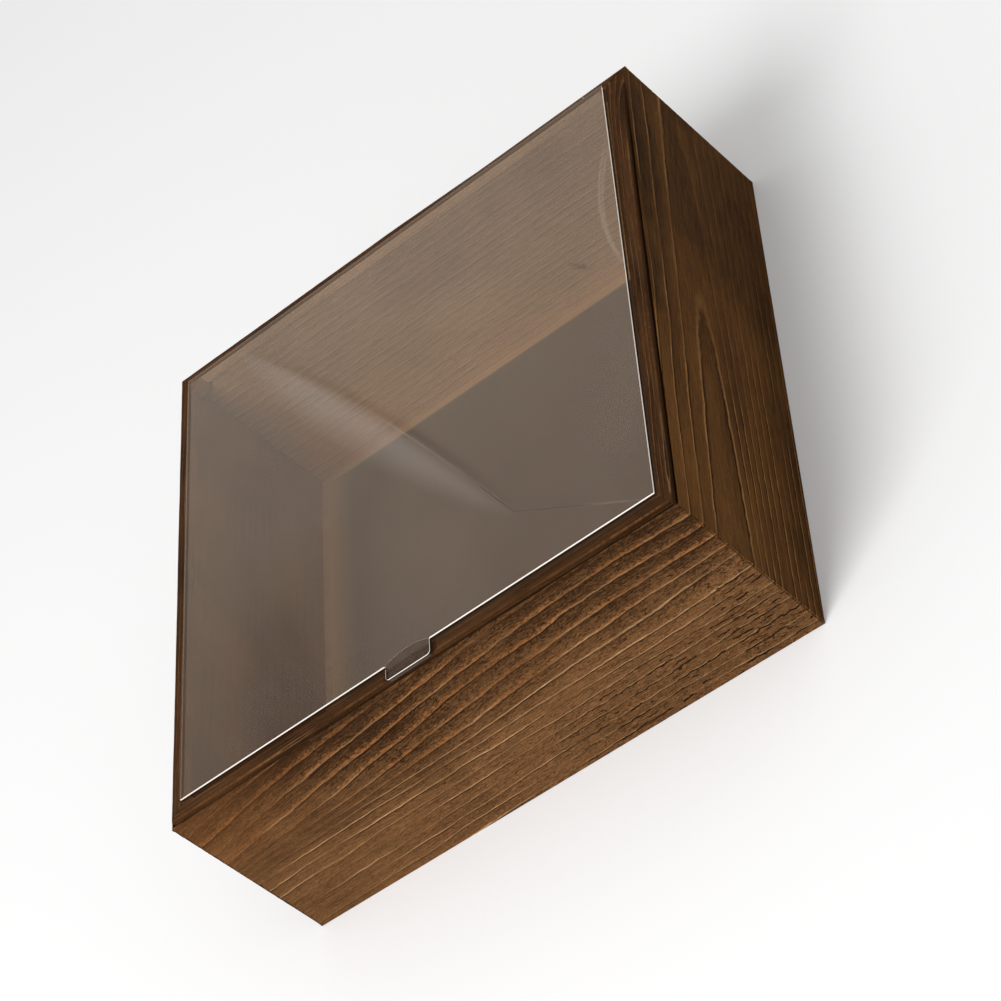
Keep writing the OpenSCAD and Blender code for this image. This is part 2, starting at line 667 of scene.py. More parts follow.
@dataclass(frozen=True)
class StainedWood:
    """A brushed and stained wood, read from the grain's UV map and its zone attributes."""

    name: str
    deep: Colour
    light: Colour
    ember: Colour
    # Colour of the thin ridge lines: pale worn stain, brightened as a painted highlight
    tan: Colour
    # Colour of the painted shadow under each ridge, of the painted shade in splits and of the painted
    # shade low on the rim
    dark: Colour
    seed: float
    ring_width: float = 6.3
    felt_depth: float = 1.0
    fibre_depth: float = 0.22
    blotch_depth: float = 0.16
    ring_depth: float = 0.22
    roughness: float = 0.8
    bump: float = 0.0006
    bump_strength: float = 0.9
    tearing: float = 3.4
    lump_cover: float = 0.85
    under_cover: float = 0.88
    fraying: float = 1.1
    sheen: float = 0.05
    # Height band over which the colour darkens towards the bottom, as painted shade in a groove
    painted_shade_from: float = 0.0
    painted_shade_to: float = 0.0
    painted_shade_cover: float = 0.8

    def zone(self, sheet: NodeSheet, name: str) -> Socket:
        """Reads one zone attribute of the piece and returns its socket."""
        return sheet.add("ShaderNodeAttribute", {"attribute_name": name}).outputs["Fac"]

    def stain(self, sheet: NodeSheet, drawn: bpy.types.bpy_prop_collection, blotch: Socket,
              zones: dict[str, Socket]) -> Socket:
        """Draws the stain: its tone, felt, fibres, rings and warm patches; the warm patches low in the
        box's back left corner are a painted warm glow of light.

        Args:
            sheet: The material's node sheet.
            drawn: Outputs of the grain group.
            blotch: Socket of the slow blotches.
            zones: Socket of each zone.

        Returns:
            The stain colour's socket.
        """
        blotch = sheet.rescale(blotch, NOISE_LOW, NOISE_HIGH, -self.blotch_depth, self.blotch_depth)
        felt = sheet.rescale(drawn["Felt"], 0.0, 1.0, -self.felt_depth, self.felt_depth)
        felt = sheet.math("MULTIPLY", felt, zones["nap"])
        fibre = sheet.rescale(drawn["Fibre"], NOISE_LOW, NOISE_HIGH, -self.fibre_depth,
                              self.fibre_depth)
        level = sheet.math("ADD", sheet.math("ADD", zones["tone"], blotch),
                           sheet.math("ADD", felt, fibre))
        ring_shade = sheet.math("SUBTRACT", 0.5, drawn["Ring Shade"])
        level = sheet.math("MULTIPLY_ADD", ring_shade, self.ring_depth, level)
        colour = sheet.ramp(level, [(0.0, self.deep), (1.0, self.light)])
        return sheet.mix(zones["warm"], colour, (*self.ember, 1.0))

    def material(self, grain: bpy.types.NodeTree, wear: bpy.types.NodeTree) -> bpy.types.Material:
        """Builds the material.

        Args:
            grain: The group of rings, lumps, cracks and felt.
            wear: The group of blotches and dust.

        Returns:
            The finished material.
        """
        material, sheet, shader, place = new_material(self.name)
        flow = sheet.add("ShaderNodeUVMap", {"uv_map": GRAIN_UV}).outputs[0]
        zones = {key: self.zone(sheet, key) for key in ZONES}
        drawn = sheet.add("ShaderNodeGroup", {"node_tree": grain}, Flow=flow,
                          Ring_Width=self.ring_width, Across=zones["across"],
                          Seed=self.seed).outputs
        old = sheet.add("ShaderNodeGroup", {"node_tree": wear}, Place=place).outputs
        colour = self.stain(sheet, drawn, old["Blotch"], zones)
        torn = sheet.math("MULTIPLY_ADD", sheet.math("SUBTRACT", drawn["Crumble"], 0.5),
                          self.tearing, drawn["Band"])
        lumpy = sheet.math("MULTIPLY", sheet.rescale(torn, 0.42, 0.80), zones["lumps"])
        lumpy = sheet.math("MULTIPLY", lumpy,
                           sheet.rescale(drawn["Crumble"], 0.38, 0.54, 0.40, 1.05))
        colour = sheet.mix(sheet.math("MULTIPLY", lumpy, self.lump_cover), colour, (*self.ember, 1.0))
        worn = sheet.rescale(drawn["Fibre"], 0.34, 0.52, 0.6, 1.0)
        worn = sheet.math("MULTIPLY", worn, sheet.rescale(drawn["Crumble"], 0.34, 0.46, 0.55, 1.0))
        # Thin ridge lines: pale worn stain, brightened as a painted highlight
        thin = sheet.math("MULTIPLY", sheet.math("MULTIPLY", drawn["Bright Line"], zones["lines"]),
                          worn)
        colour = sheet.mix(thin, colour, (*self.tan, 1.0))
        # Painted shadow under each ridge, and painted shade in the splits
        either = sheet.math("MAXIMUM", zones["lines"], zones["lumps"])
        under = sheet.math("MULTIPLY", sheet.math("MULTIPLY", drawn["Dark Line"], either),
                           self.under_cover)
        frayed = sheet.math("MULTIPLY_ADD", sheet.math("SUBTRACT", drawn["Fray"], 0.5),
                            self.fraying, zones["cracks"])
        gaps = sheet.rescale(frayed, 0.36, 0.50)
        colour = sheet.mix(sheet.math("MAXIMUM", under, gaps, clamp=True), colour, (*self.dark, 1.0))
        # Painted shade: darker towards the bottom of the height band
        if self.painted_shade_to > self.painted_shade_from:
            painted_shade = sheet.rescale(sheet.axis(place, 2), self.painted_shade_from, self.painted_shade_to,
                                  self.painted_shade_cover, 0.0)
            colour = sheet.mix(painted_shade, colour, (*self.dark, 1.0))
        height = sheet.math("MULTIPLY", drawn["Felt"],
                            sheet.math("MULTIPLY_ADD", zones["nap"], 1.6, 0.2))
        height = sheet.math("MULTIPLY_ADD", drawn["Fibre"], 0.4, height)
        height = sheet.math("SUBTRACT", height, sheet.math("MULTIPLY", gaps, 0.7))
        height = sheet.math("ADD", height, sheet.math("MULTIPLY", sheet.math("ADD", lumpy, thin), 0.5))
        sheet.fill(shader, Base_Color=colour, Specular_IOR_Level=self.sheen,
                   Roughness=sheet.math("MULTIPLY_ADD", drawn["Felt"], 0.2, self.roughness - 0.1),
                   Normal=sheet.bump(height, self.bump_strength, self.bump))
        return material


@dataclass(frozen=True)
class PlainWood:
    """Stained wood without a grain map, for the floor and the corner rests."""

    name: str
    deep: Colour
    light: Colour
    seed: float
    figure_depth: float = 1.2
    fibre_depth: float = 0.5
    blotch_depth: float = 0.3
    bump: float = 0.0001

    def material(self, wear: bpy.types.NodeTree) -> bpy.types.Material:
        """Builds the material.

        Args:
            wear: The group of blotches and dust.

        Returns:
            The finished material.
        """
        material, sheet, shader, place = new_material(self.name)
        old = sheet.add("ShaderNodeGroup", {"node_tree": wear}, Place=place).outputs
        shift = sheet.vector("ADD", place, (0.0, self.seed, 0.0))
        figure = sheet.noise(sheet.stretched(shift, (7.0, 210.0, 90.0)), 1.0, 4.0, 0.6)
        fibre = sheet.noise(sheet.stretched(shift, (40.0, 1500.0, 900.0)), 1.0, 3.0, 0.6)
        level = sheet.math("MULTIPLY", sheet.math("SUBTRACT", figure, 0.5), self.figure_depth)
        level = sheet.math("MULTIPLY_ADD", fibre, self.fibre_depth, level)
        level = sheet.math("MULTIPLY_ADD", old["Blotch"], self.blotch_depth, level)
        sheet.fill(shader, Base_Color=sheet.ramp(level, [(0.1, self.deep), (0.9, self.light)]),
                   Roughness=sheet.rescale(fibre, NOISE_LOW, NOISE_HIGH, 0.68, 0.88),
                   Specular_IOR_Level=0.12, Normal=sheet.bump(fibre, 0.7, self.bump))
        return material


@dataclass(frozen=True)
class LiningPaper:
    """The matt dark sheet on the floor."""

    name: str = "lining_paper"
    colour: Colour = (0.052, 0.031, 0.019)
    light: Colour = (0.085, 0.052, 0.032)
    faded: Colour = (0.37, 0.210, 0.090)
    edge: float = 0.1365
    fade_left: float = 0.022
    fade_back: float = 0.003
    bump: float = 0.00005

    def material(self) -> bpy.types.Material:
        """Builds the material.

        Returns:
            The finished material.
        """
        material, sheet, shader, place = new_material(self.name)
        cloud = sheet.noise(place, 9.0, 4.0, 0.6)
        tooth = sheet.noise(sheet.stretched(place, (260.0, 90.0, 90.0)), 1.0, 2.0, 0.5)
        blend = sheet.math("MULTIPLY_ADD", tooth, 0.25, sheet.math("SUBTRACT", cloud, 0.125))
        paper = sheet.ramp(blend, [(0.25, self.colour), (0.75, self.light)])
        left = sheet.rescale(sheet.axis(place, 0), -self.edge, self.fade_left - self.edge, 1.0, 0.0)
        back = sheet.rescale(sheet.axis(place, 1), self.edge, self.edge - self.fade_back, 1.0, 0.0)
        fade = sheet.math("POWER", sheet.math("MAXIMUM", left, back), 2.0)
        sheet.fill(shader, Base_Color=sheet.mix(fade, paper, (*self.faded, 1.0)),
                   Roughness=sheet.rescale(tooth, NOISE_LOW, NOISE_HIGH, 0.75, 0.92),
                   Specular_IOR_Level=0.05, Normal=sheet.bump(tooth, 0.1, self.bump))
        return material


@dataclass(frozen=True)
class BradSteel:
    """Dulled steel wire."""

    name: str = "brad_steel"
    dull: Colour = (0.10, 0.08, 0.06)
    bright: Colour = (0.34, 0.32, 0.29)

    def material(self) -> bpy.types.Material:
        """Builds the material.

        Returns:
            The finished material.
        """
        material, sheet, shader, place = new_material(self.name)
        tarnish = sheet.noise(place, 2200.0, 3.0, 0.6)
        colour = sheet.ramp(tarnish, [(NOISE_LOW, self.dull), (NOISE_HIGH, self.bright)])
        sheet.fill(shader, Base_Color=colour, Metallic=1.0,
                   Roughness=sheet.rescale(tarnish, NOISE_LOW, NOISE_HIGH, 0.55, 0.35))
        return material


@dataclass(frozen=True)
class ClearSheet:
    """The lid's clear sheet: faint haze, a soft bend mark with painted highlight and painted shade, and
    dust.
    """

    middle: float
    haze: Colour = (0.80, 0.645, 0.510)
    # Colour of the bend mark's lighter band, which is a painted highlight
    highlight_colour: Colour = (0.81, 0.70, 0.61)
    crease_colour: Colour = (0.012, 0.008, 0.005)
    film: float = 0.088
    film_swing: float = 0.006
    # Painted reflection: the haze thickens towards the back, where the sheet is seen at a grazing angle
    reflection_rise_to_back: float = 0.027
    mark_start: tuple[float, float] = (-0.103, 0.137)
    mark_turn: float = -54.3
    mark_length: float = 0.289
    mark_width: float = 0.023
    # Opacity that the bend mark's painted highlight adds to the haze
    highlight_depth: float = 0.050
    mark_bulge: float = 0.0055
    crease_depth: float = 0.36
    tail_slope: float = 0.44
    tail_length: float = 0.075
    arc_centre: tuple[float, float] = (0.2517, 0.057)
    arc_radius: float = 0.122
    arc_reach: float = 0.050
    arc_depth: float = 0.09
    dust_depth: float = 0.25
    hair: float = 0.0007
    tab_from: float = 0.1405
    # Emission that makes the edges' painted highlight and painted shade glow
    painted_edge_glow: float = 0.40
    patch_centre: tuple[float, float] = (-0.078, -0.115)
    patch_width: float = 0.038
    patch_length: float = 0.075
    patch_depth: float = 0.018
    # Place, width and depth of the soft painted shade beside the bend mark's highlight
    shade_offset: float = 0.0022
    shade_width: float = 0.0030
    shade_depth: float = 0.026

    def material(self, wear: bpy.types.NodeTree) -> bpy.types.Material:
        """Builds the material of the large faces.

        Args:
            wear: The group of blotches and dust.

        Returns:
            The finished material.
        """
        material, sheet, shader, place = new_material("clear_sheet")
        old = sheet.add("ShaderNodeGroup", {"node_tree": wear}, Place=place).outputs
        veil = sheet.rescale(old["Blotch"], NOISE_LOW, NOISE_HIGH, self.film - self.film_swing,
                             self.film + self.film_swing)
        # Painted reflection, rising towards the back
        veil = sheet.math("ADD", veil, sheet.rescale(sheet.axis(place, 1), -0.14, 0.14,
                                                     -self.reflection_rise_to_back, self.reflection_rise_to_back))
        glow, crease, shade = self.bend_mark(sheet, place)
        upper = sheet.rescale(sheet.axis(place, 2), self.middle, self.middle + TINY)
        crease = sheet.math("MULTIPLY", crease, upper)
        # The bend mark's painted highlight thickens the haze
        veil = sheet.math("ADD", veil, sheet.math("MULTIPLY", glow, self.highlight_depth))
        # Painted shade beside it thins the haze, so that the sheet reads darker there
        veil = sheet.math("SUBTRACT", veil, sheet.math("MULTIPLY", shade, self.shade_depth))
        veil = sheet.math("MULTIPLY_ADD", self.contact_arc(sheet, place), self.arc_depth, veil)
        veil = sheet.math("MULTIPLY_ADD", crease, self.crease_depth, veil)
        veil = sheet.math("SUBTRACT", veil, self.clear_patch(sheet, place))
        veil = sheet.math("MULTIPLY_ADD", old["Dust"], self.dust_depth, veil, clamp=True)
        # The painted highlight also lightens the haze's colour
        colour = sheet.mix(glow, (*self.haze, 1.0), (*self.highlight_colour, 1.0))
        colour = sheet.mix(crease, colour, (*self.crease_colour, 1.0))
        sheet.fill(shader, Base_Color=colour, Alpha=veil, Roughness=0.15, IOR=1.49)
        return material

    def bend_mark(self, sheet: NodeSheet, place: Socket) -> tuple[Socket, Socket, Socket]:
        """Draws the long soft bend mark that runs over the sheet from the back left, with a painted
        highlight.

        Args:
            sheet: The material's node sheet.
            place: Socket of the object coordinates.

        Returns:
            Sockets of the mark's painted highlight, of the dark crease along its edge and of the
            painted shade beside it.
        """
        x, y = self.mark_start
        local = sheet.add("ShaderNodeMapping", {"vector_type": "TEXTURE"}, Vector=place,
                          Location=(x, y, 0.0),
                          Rotation=(0.0, 0.0, math.radians(self.mark_turn))).outputs[0]
        apart = sheet.add("ShaderNodeSeparateXYZ", in_0=local)
        ahead = apart.outputs[0]
        tail = sheet.math("MAXIMUM", sheet.math("SUBTRACT", ahead, self.mark_length), 0.0)
        side = sheet.math("SUBTRACT", apart.outputs[1], sheet.math("MULTIPLY", tail, self.tail_slope))
        share = sheet.math("DIVIDE", ahead, self.mark_length, clamp=True)
        belly = sheet.math("SINE", sheet.math("MULTIPLY", share, math.pi))
        side = sheet.math("SUBTRACT", side, sheet.math("MULTIPLY", belly, self.mark_bulge))
        full = sheet.math("POWER", belly, 0.6)
        lean_back = sheet.rescale(share, 0.25, 1.0, 1.0, 0.80)
        width = sheet.math("MULTIPLY", sheet.math("MULTIPLY", full, lean_back), self.mark_width)
        lean = sheet.math("DIVIDE", side, sheet.math("ADD", width, 0.001))
        near = sheet.rescale(lean, sheet.math("MULTIPLY_ADD", share, 0.14, 0.06),
                             sheet.math("MULTIPLY_ADD", share, -0.34, -0.06))
        far = sheet.rescale(lean, -1.0, -0.42)
        # Band of painted highlight along the bend
        glow = sheet.math("MULTIPLY", sheet.math("MULTIPLY", near, far), full)
        line = sheet.rescale(sheet.math("ABSOLUTE", side), self.hair, 0.3 * self.hair)
        end = sheet.rescale(ahead, self.mark_length + self.tail_length,
                            self.mark_length + 0.5 * self.tail_length)
        onset = sheet.rescale(ahead, 0.45 * self.mark_length, 0.9 * self.mark_length)
        crease = sheet.math("MULTIPLY", line, sheet.math("MULTIPLY", end, onset))
        # Painted shade beside the highlight
        shade = sheet.math("MULTIPLY", sheet.bell(side, self.shade_offset, self.shade_width), belly)
        return glow, crease, shade

    def clear_patch(self, sheet: NodeSheet, place: Socket) -> Socket:
        """Thins the haze in a soft patch near the front left.

        Args:
            sheet: The material's node sheet.
            place: Socket of the object coordinates.

        Returns:
            Socket of how much the haze is thinned by.
        """
        off = sheet.vector("SUBTRACT", place, (*self.patch_centre, 0.0))
        flat = sheet.stretched(off, (1.0 / self.patch_width, 1.0 / self.patch_length, 0.0))
        return sheet.math("MULTIPLY", sheet.bell(sheet.length(flat)), self.patch_depth)

    def contact_arc(self, sheet: NodeSheet, place: Socket) -> Socket:
        """Draws the thin arc near the right edge.

        Args:
            sheet: The material's node sheet.
            place: Socket of the object coordinates.

        Returns:
            The arc's socket.
        """
        flat = sheet.stretched(sheet.vector("SUBTRACT", place, (*self.arc_centre, 0.0)),
                               (1.0, 1.0, 0.0))
        gap = sheet.math("ABSOLUTE", sheet.math("SUBTRACT", sheet.length(flat), self.arc_radius))
        line = sheet.rescale(gap, 1.6 * self.hair, 0.4 * self.hair)
        height = sheet.math("ABSOLUTE", sheet.axis(flat, 1))
        return sheet.math("MULTIPLY", line, sheet.rescale(height, self.arc_reach, 0.5 * self.arc_reach))

    def rubbed_material(self, name: str, colour: Colour, least: float,
                        most: float) -> bpy.types.Material:
        """Builds the material of the sheet where thumbs have rubbed it.

        Args:
            name: Name of the material.
            colour: Colour of its film.
            least: Opacity of the film where it is thinnest.
            most: Opacity where it is thickest.

        Returns:
            The finished material.
        """
        material, sheet, shader, place = new_material(name)
        smear = sheet.noise(sheet.stretched(place, (160.0, 420.0, 1.0)), 1.0, 3.0, 0.6)
        sheet.fill(shader, Base_Color=(*colour, 1.0), Roughness=0.2,
                   Alpha=sheet.rescale(smear, NOISE_LOW, NOISE_HIGH, least, most))
        return material

    def edge_material(self, low: float, high: float) -> bpy.types.Material:
        """Builds the material of the polished edges: a painted highlight on the upper arris over the
        clear sheet, with a painted dark shade band and a painted brown reflection of the wood below it,
        all glowing a little by emission.

        Args:
            low: Height of the sheet's underside.
            high: Height of its top.

        Returns:
            The finished material.
        """
        material, sheet, shader, place = new_material("polished_edge")
        share = sheet.rescale(sheet.axis(place, 2), low, high)
        # Painted highlight on the upper arris, a painted dark shade band below it and a painted brown
        # reflection of the wood at the foot
        colour = sheet.ramp(share, [(0.0, (0.040, 0.018, 0.008)), (0.30, (0.025, 0.011, 0.005)),
                                    (0.45, (0.006, 0.003, 0.002)), (0.66, (0.006, 0.003, 0.002)),
                                    (0.74, (0.93, 0.84, 0.75)), (1.0, (1.0, 0.93, 0.86))])
        depth = sheet.axis(place, 1)
        back_edge = sheet.rescale(depth, self.tab_from - 0.002, self.tab_from - 0.001, 1.0, 0.15)
        body = sheet.math("MULTIPLY", sheet.rescale(share, 0.0, 0.5, 0.85, 0.97), back_edge)
        behind = sheet.add("ShaderNodeNewGeometry").outputs["Backfacing"]
        far_side = sheet.rescale(depth, -self.tab_from - 0.001, -self.tab_from, 0.75, 0.10)
        shown = sheet.math("MULTIPLY_ADD", behind, sheet.math("SUBTRACT", far_side, 1.0), 1.0)
        sheet.fill(shader, Base_Color=colour, Emission_Color=colour,
                   Emission_Strength=self.painted_edge_glow, Roughness=0.2,
                   Alpha=sheet.math("MULTIPLY", body, shown))
        return material


def ease(low: float, high: float, value: np.ndarray) -> np.ndarray:
    """Takes a smooth step from 0 at low to 1 at high, either way round."""
    share = np.clip((value - low) / (high - low), 0.0, 1.0)
    return share * share * (3.0 - 2.0 * share)


def bell(value: np.ndarray, middle: float, width: float) -> np.ndarray:
    """Draws a bell-shaped curve that is 1 at its middle and 1/e at its width from there."""
    return np.exp(-((value - middle) / width) ** 2)


@dataclass
class Grain:
    """Year rings of a quiet board: straight lines with a slow wander."""

    seed: int
    ring_width: float = 6.3
    wander: float = 0.25
    line_share: float = 0.55
    nap: float = 0.3
    knot_along: float = 0.0
    knot_up: float = 0.0
    knot_size: float = 0.0
    # Place and size of a painted warm glow of light at the board's foot
    warm_along: float = 0.0
    warm_size: float = 0.0
    # Lightens the lower part of the face as painted light
    painted_foot_light: float = 0.0
    shake: float = 1.0

    def warmth(self, along: np.ndarray, up: np.ndarray) -> np.ndarray:
        """Bell over the painted warm glow of light at the board's foot, 0 where it has none.

        Args:
            along: Millimetres along the board.
            up: Millimetres above its lower edge.

        Returns:
            Warmth at each point, from 0 to 1.
        """
        if self.warm_size == 0.0:
            return np.zeros_like(up)
        return np.exp(-((along - self.warm_along) / self.warm_size) ** 2 - (up / self.warm_size) ** 2)

    def knot(self, along: np.ndarray, up: np.ndarray) -> np.ndarray:
        """Bell over the board's small knot, 0 where the board has none.

        Args:
            along: Millimetres along the board.
            up: Millimetres above its lower edge.

        Returns:
            Nearness to the knot at each point, from 0 to 1.
        """
        if self.knot_size == 0.0:
            return np.zeros_like(up)
        beside, above = along - self.knot_along, up - self.knot_up
        long, short = 0.6 * beside + 0.8 * above, 0.8 * beside - 0.6 * above
        return np.exp(-(long / (2.4 * self.knot_size)) ** 2 - (short / self.knot_size) ** 2)

    def rings(self, along: np.ndarray, up: np.ndarray) -> np.ndarray:
        """Counts the rings across the board.

        Args:
            along: Millimetres along the board.
            up: Millimetres above its lower edge.

        Returns:
            Ring count, with its fraction, at each point.
        """
        slow = value_noise(along / 120.0, up / 30.0, self.seed)
        straight = (up - 0.02 * along) / self.ring_width + 1.6 * self.wander * slow
        return straight + 0.9 * self.knot(along, up)

    def shaken(self, along: np.ndarray, up: np.ndarray) -> np.ndarray:
        """Adds the small shake that every line has to the rings.

        Args:
            along: Millimetres along the board.
            up: Millimetres above its lower edge.

        Returns:
            Ring count, with its fraction, at each point.
        """
        count = self.rings(along, up)
        shake = 0.11 * value_noise(along / 26.0, count * 1.3, self.seed + 1)
        shake = shake + 0.05 * value_noise(along / 8.0, count * 2.0, self.seed + 2)
        shake = shake + 0.02 * value_noise(along / 3.0, count * 3.0, self.seed + 9)
        return count + self.shake * shake

    def zones(self, along: np.ndarray, up: np.ndarray, count: np.ndarray) -> dict[str, np.ndarray]:
        """Says where thin lines, lumps and cracks show, and how light the stain is.

        Args:
            along: Millimetres along the board.
            up: Millimetres above its lower edge.
            count: Ring count at each point.

        Returns:
            A value for each point under each zone's name.
        """
        ring = np.floor(count)
        lines = np.clip(0.5 + 0.9 * value_noise(along / 45.0, ring * 5.7, self.seed + 3), 0.0, 1.0)
        tone = 0.5 + 0.2 * value_noise(along / 70.0, up / 22.0, self.seed + 4)
        # Painted light: lighter towards the foot
        tone = tone + self.painted_foot_light * (ease(75.0, 5.0, up) - 0.3)
        # The warm zone here is a painted warm glow of light
        return {"lines": self.line_share * lines, "lumps": np.zeros_like(up),
                "cracks": np.zeros_like(up), "tone": tone - 0.6 * self.knot(along, up),
                "nap": np.full_like(up, self.nap), "across": up,
                "warm": 0.75 * self.warmth(along, up)}

    def height(self, along: np.ndarray, count: np.ndarray, zones: dict[str, np.ndarray]) -> np.ndarray:
        """Height of the brushed surface, from 0, brushed out, to 1, standing.

        Args:
            along: Millimetres along the board.
            count: Ring count at each point.
            zones: Value of each zone at each point.

        Returns:
            Height at each point.
        """
        part = count - np.floor(count)
        thin = bell(part, 0.50, 0.06) * zones["lines"]
        under = bell(part, 0.40, 0.06) * np.maximum(zones["lines"], zones["lumps"])
        crumbs = 0.5 + 0.5 * value_noise(along / 2.6, count * 4.2, self.seed + 5)
        rise = np.mod(part - 0.44, 1.0)
        lump = bell(rise, 0.0, 0.28) * zones["lumps"] * (0.25 + 0.75 * crumbs)
        felt = value_noise(along / 2.2, count * 4.6, self.seed + 7)
        felt = felt + 0.6 * value_noise(along / 1.3 + 9.0, count * 8.0, self.seed + 10)
        total = 0.55 + 0.28 * thin + 0.42 * lump - 0.30 * under + 0.26 * felt * zones["nap"]
        return np.clip(total - 0.45 * zones["cracks"], 0.0, 1.0)

    def split(self, along: np.ndarray, count: np.ndarray) -> np.ndarray:
        """Long broken splits that follow the lines, from 0 to 1.

        Args:
            along: Millimetres along the board.
            count: Ring count at each point.

        Returns:
            How deep the splits are at each point.
        """
        ring = np.floor(count)
        part = count - ring + 0.09 * value_noise(along / 2.4, ring * 7.1, self.seed + 12)
        row = bell(part, 0.42, 0.062)
        between = bell(part, 0.88, 0.055)
        main = np.clip(value_noise(along / 7.0, ring * 3.3, self.seed + 6) * 3.0 + 0.9, 0.0, 1.0)
        less = np.clip(value_noise(along / 4.0, ring * 2.1 + 0.5, self.seed + 11) * 3.0 - 0.8, 0.0, 1.0)
        return np.maximum(row * main, between * less)


@dataclass
class RisingGrain(Grain):
    """Rings that climb from the left end and level out, lumpy above and cracked below right."""

    shake: float = 0.75
    level_from: float = 67.0
    climb_length: float = 217.0
    climb: float = 1.38
    settled: float = 0.38
    spread: float = 0.28
    spread_from: float = 58.0

    def rings(self, along: np.ndarray, up: np.ndarray) -> np.ndarray:
        """Counts the rings across the board.

        Args:
            along: Millimetres along the board.
            up: Millimetres above its lower edge.

        Returns:
            Ring count, with its fraction, at each point.
        """
        left = (self.level_from - along) / self.climb_length
        left = np.log1p(np.exp(left * 9.0)) / 9.0
        swing = self.settled - self.climb * left
        reach = 5.0 + 16.0 * ease(45.0, 66.0, up)
        across = up - reach * swing
        across = across - self.spread * np.clip(across - self.spread_from, 0.0, None)
        slow = value_noise(along / 85.0, across / 24.0, self.seed)
        return across / self.ring_width + self.wander * slow

    def zones(self, along: np.ndarray, up: np.ndarray, count: np.ndarray) -> dict[str, np.ndarray]:
        """Says where thin lines, lumps and cracks show, and how light the stain is.

        Args:
            along: Millimetres along the board.
            up: Millimetres above its lower edge.
            count: Ring count at each point.

        Returns:
            A value for each point under each zone's name.
        """
        ring = np.floor(count)
        across = count * self.ring_width
        left_end = ease(-55.0, -115.0, along)
        squeezed = ease(44.0, 50.0, up) * ease(67.0, 61.0, up)
        every_other = ease(60.0, 66.0, up) * np.mod(ring, 2.0)
        shown = 1.0 - left_end * np.clip(0.95 * squeezed + every_other, 0.0, 1.0)
        top_edge = 1.0 - 0.9 * ease(94.5, 97.5, up) * ease(-60.0, 0.0, along)
        broken = value_noise(along / 36.0, ring * 5.7, self.seed + 3)
        often = 0.80 - 0.45 * ease(-40.0, -120.0, along) - 0.5 * ease(24.0, 6.0, up)
        lines = np.clip(often + 1.1 * broken, 0.0, 1.0)
        patch = np.clip(0.75 + 0.7 * value_noise(along / 22.0, ring * 3.1, self.seed + 8), 0.0, 1.0)
        lumps = ease(54.0, 61.0, across) * ease(-125.0, -50.0, along) * patch
        lumps = lumps + 0.62 * ease(-60.0, -130.0, along) * ease(60.0, 75.0, up) * patch
        lumps = np.clip(lumps * shown * top_edge, 0.0, 1.0)
        rough = np.clip(ease(52.0, 24.0, up) * ease(-50.0, 70.0, along)
                        + 0.7 * ease(100.0, 138.0, along) * ease(78.0, 50.0, up), 0.0, 1.0)
        lines = lines * shown * top_edge * (1.0 - 0.45 * lumps) * (1.0 - 0.35 * rough)
        lines = lines * (1.0 - 0.55 * ease(60.0, 72.0, up) * ease(-130.0, -80.0, along))
        tone = 0.05 + 0.50 * ease(92.0, 34.0, up) + 0.02 * ease(-40.0, -150.0, along)
        tone = tone + 0.12 * ease(-120.0, -20.0, along) * ease(62.0, 36.0, up)
        tone = tone - 0.12 * ease(-20.0, -110.0, along) * ease(62.0, 84.0, up)
        tone = tone + 0.10 * value_noise(along / 34.0, up / 14.0, self.seed + 4)
        nap = 0.26 + 0.26 * ease(-110.0, -20.0, along) + 0.48 * rough
        warm = 0.20 * ease(-60.0, -150.0, along) * ease(48.0, 75.0, up)
        return {"lines": lines, "lumps": lumps, "cracks": rough * self.split(along, count),
                "tone": tone, "nap": np.clip(nap, 0.0, 1.0), "across": across, "warm": warm}


@dataclass
class TongueGrain(Grain):
    """Rings nested in a long tongue whose tip points to the back."""

    ring_width: float = 9.0
    shake: float = 0.45
    tongue_height: float = 62.0
    spread: float = 1.18
    inner: float = 14.0
    start: float = -150.0

    def rings(self, along: np.ndarray, up: np.ndarray) -> np.ndarray:
        """Counts the rings out from the middle of the tongue.

        Args:
            along: Millimetres along the board.
            up: Millimetres above its lower edge.

        Returns:
            Ring count, with its fraction, at each point.
        """
        off = up - self.tongue_height
        away = np.sqrt(off ** 2 + self.spread * (along - self.start))
        close = np.where(off < 0.0, np.clip(away - self.inner, 0.0, None), 0.0)
        slow = value_noise(along / 80.0, up / 22.0, self.seed)
        return (away + 0.9 * close) / self.ring_width + 0.16 * slow

    def zones(self, along: np.ndarray, up: np.ndarray, count: np.ndarray) -> dict[str, np.ndarray]:
        """Says where thin lines show, and how light the stain is.

        Args:
            along: Millimetres along the board.
            up: Millimetres above its lower edge.
            count: Ring count at each point.

        Returns:
            A value for each point under each zone's name.
        """
        ring = np.floor(count)
        broken = value_noise(along / 30.0, ring * 4.3, self.seed + 3)
        near = ease(60.0, -115.0, along)
        least = 0.12 + 0.45 * ease(66.0, 76.0, up)
        shown = ease(0.8, 1.1, count)
        lines = shown * np.clip((least + (0.95 - least) * near) * (0.9 + 1.1 * broken), 0.0, 1.0)
        tip = np.exp(-((along - 2.0) / 32.0) ** 2 - ((up - self.tongue_height) / 8.0) ** 2)
        lines = lines * (1.0 - 0.6 * tip)
        tone = 0.31 + 0.24 * ease(130.0, -120.0, along) * ease(0.0, 70.0, up) + 0.14 * near
        tone = tone + 0.20 * value_noise(along / 55.0, up / 11.0, self.seed + 4)
        tone = tone - 0.10 * np.exp(-((along + 25.0) / 48.0) ** 2 - ((up - 45.0) / 13.0) ** 2)
        still = np.zeros_like(up)
        return {"lines": lines, "lumps": still, "cracks": still, "tone": tone,
                "nap": np.full_like(up, self.nap), "across": up, "warm": still}


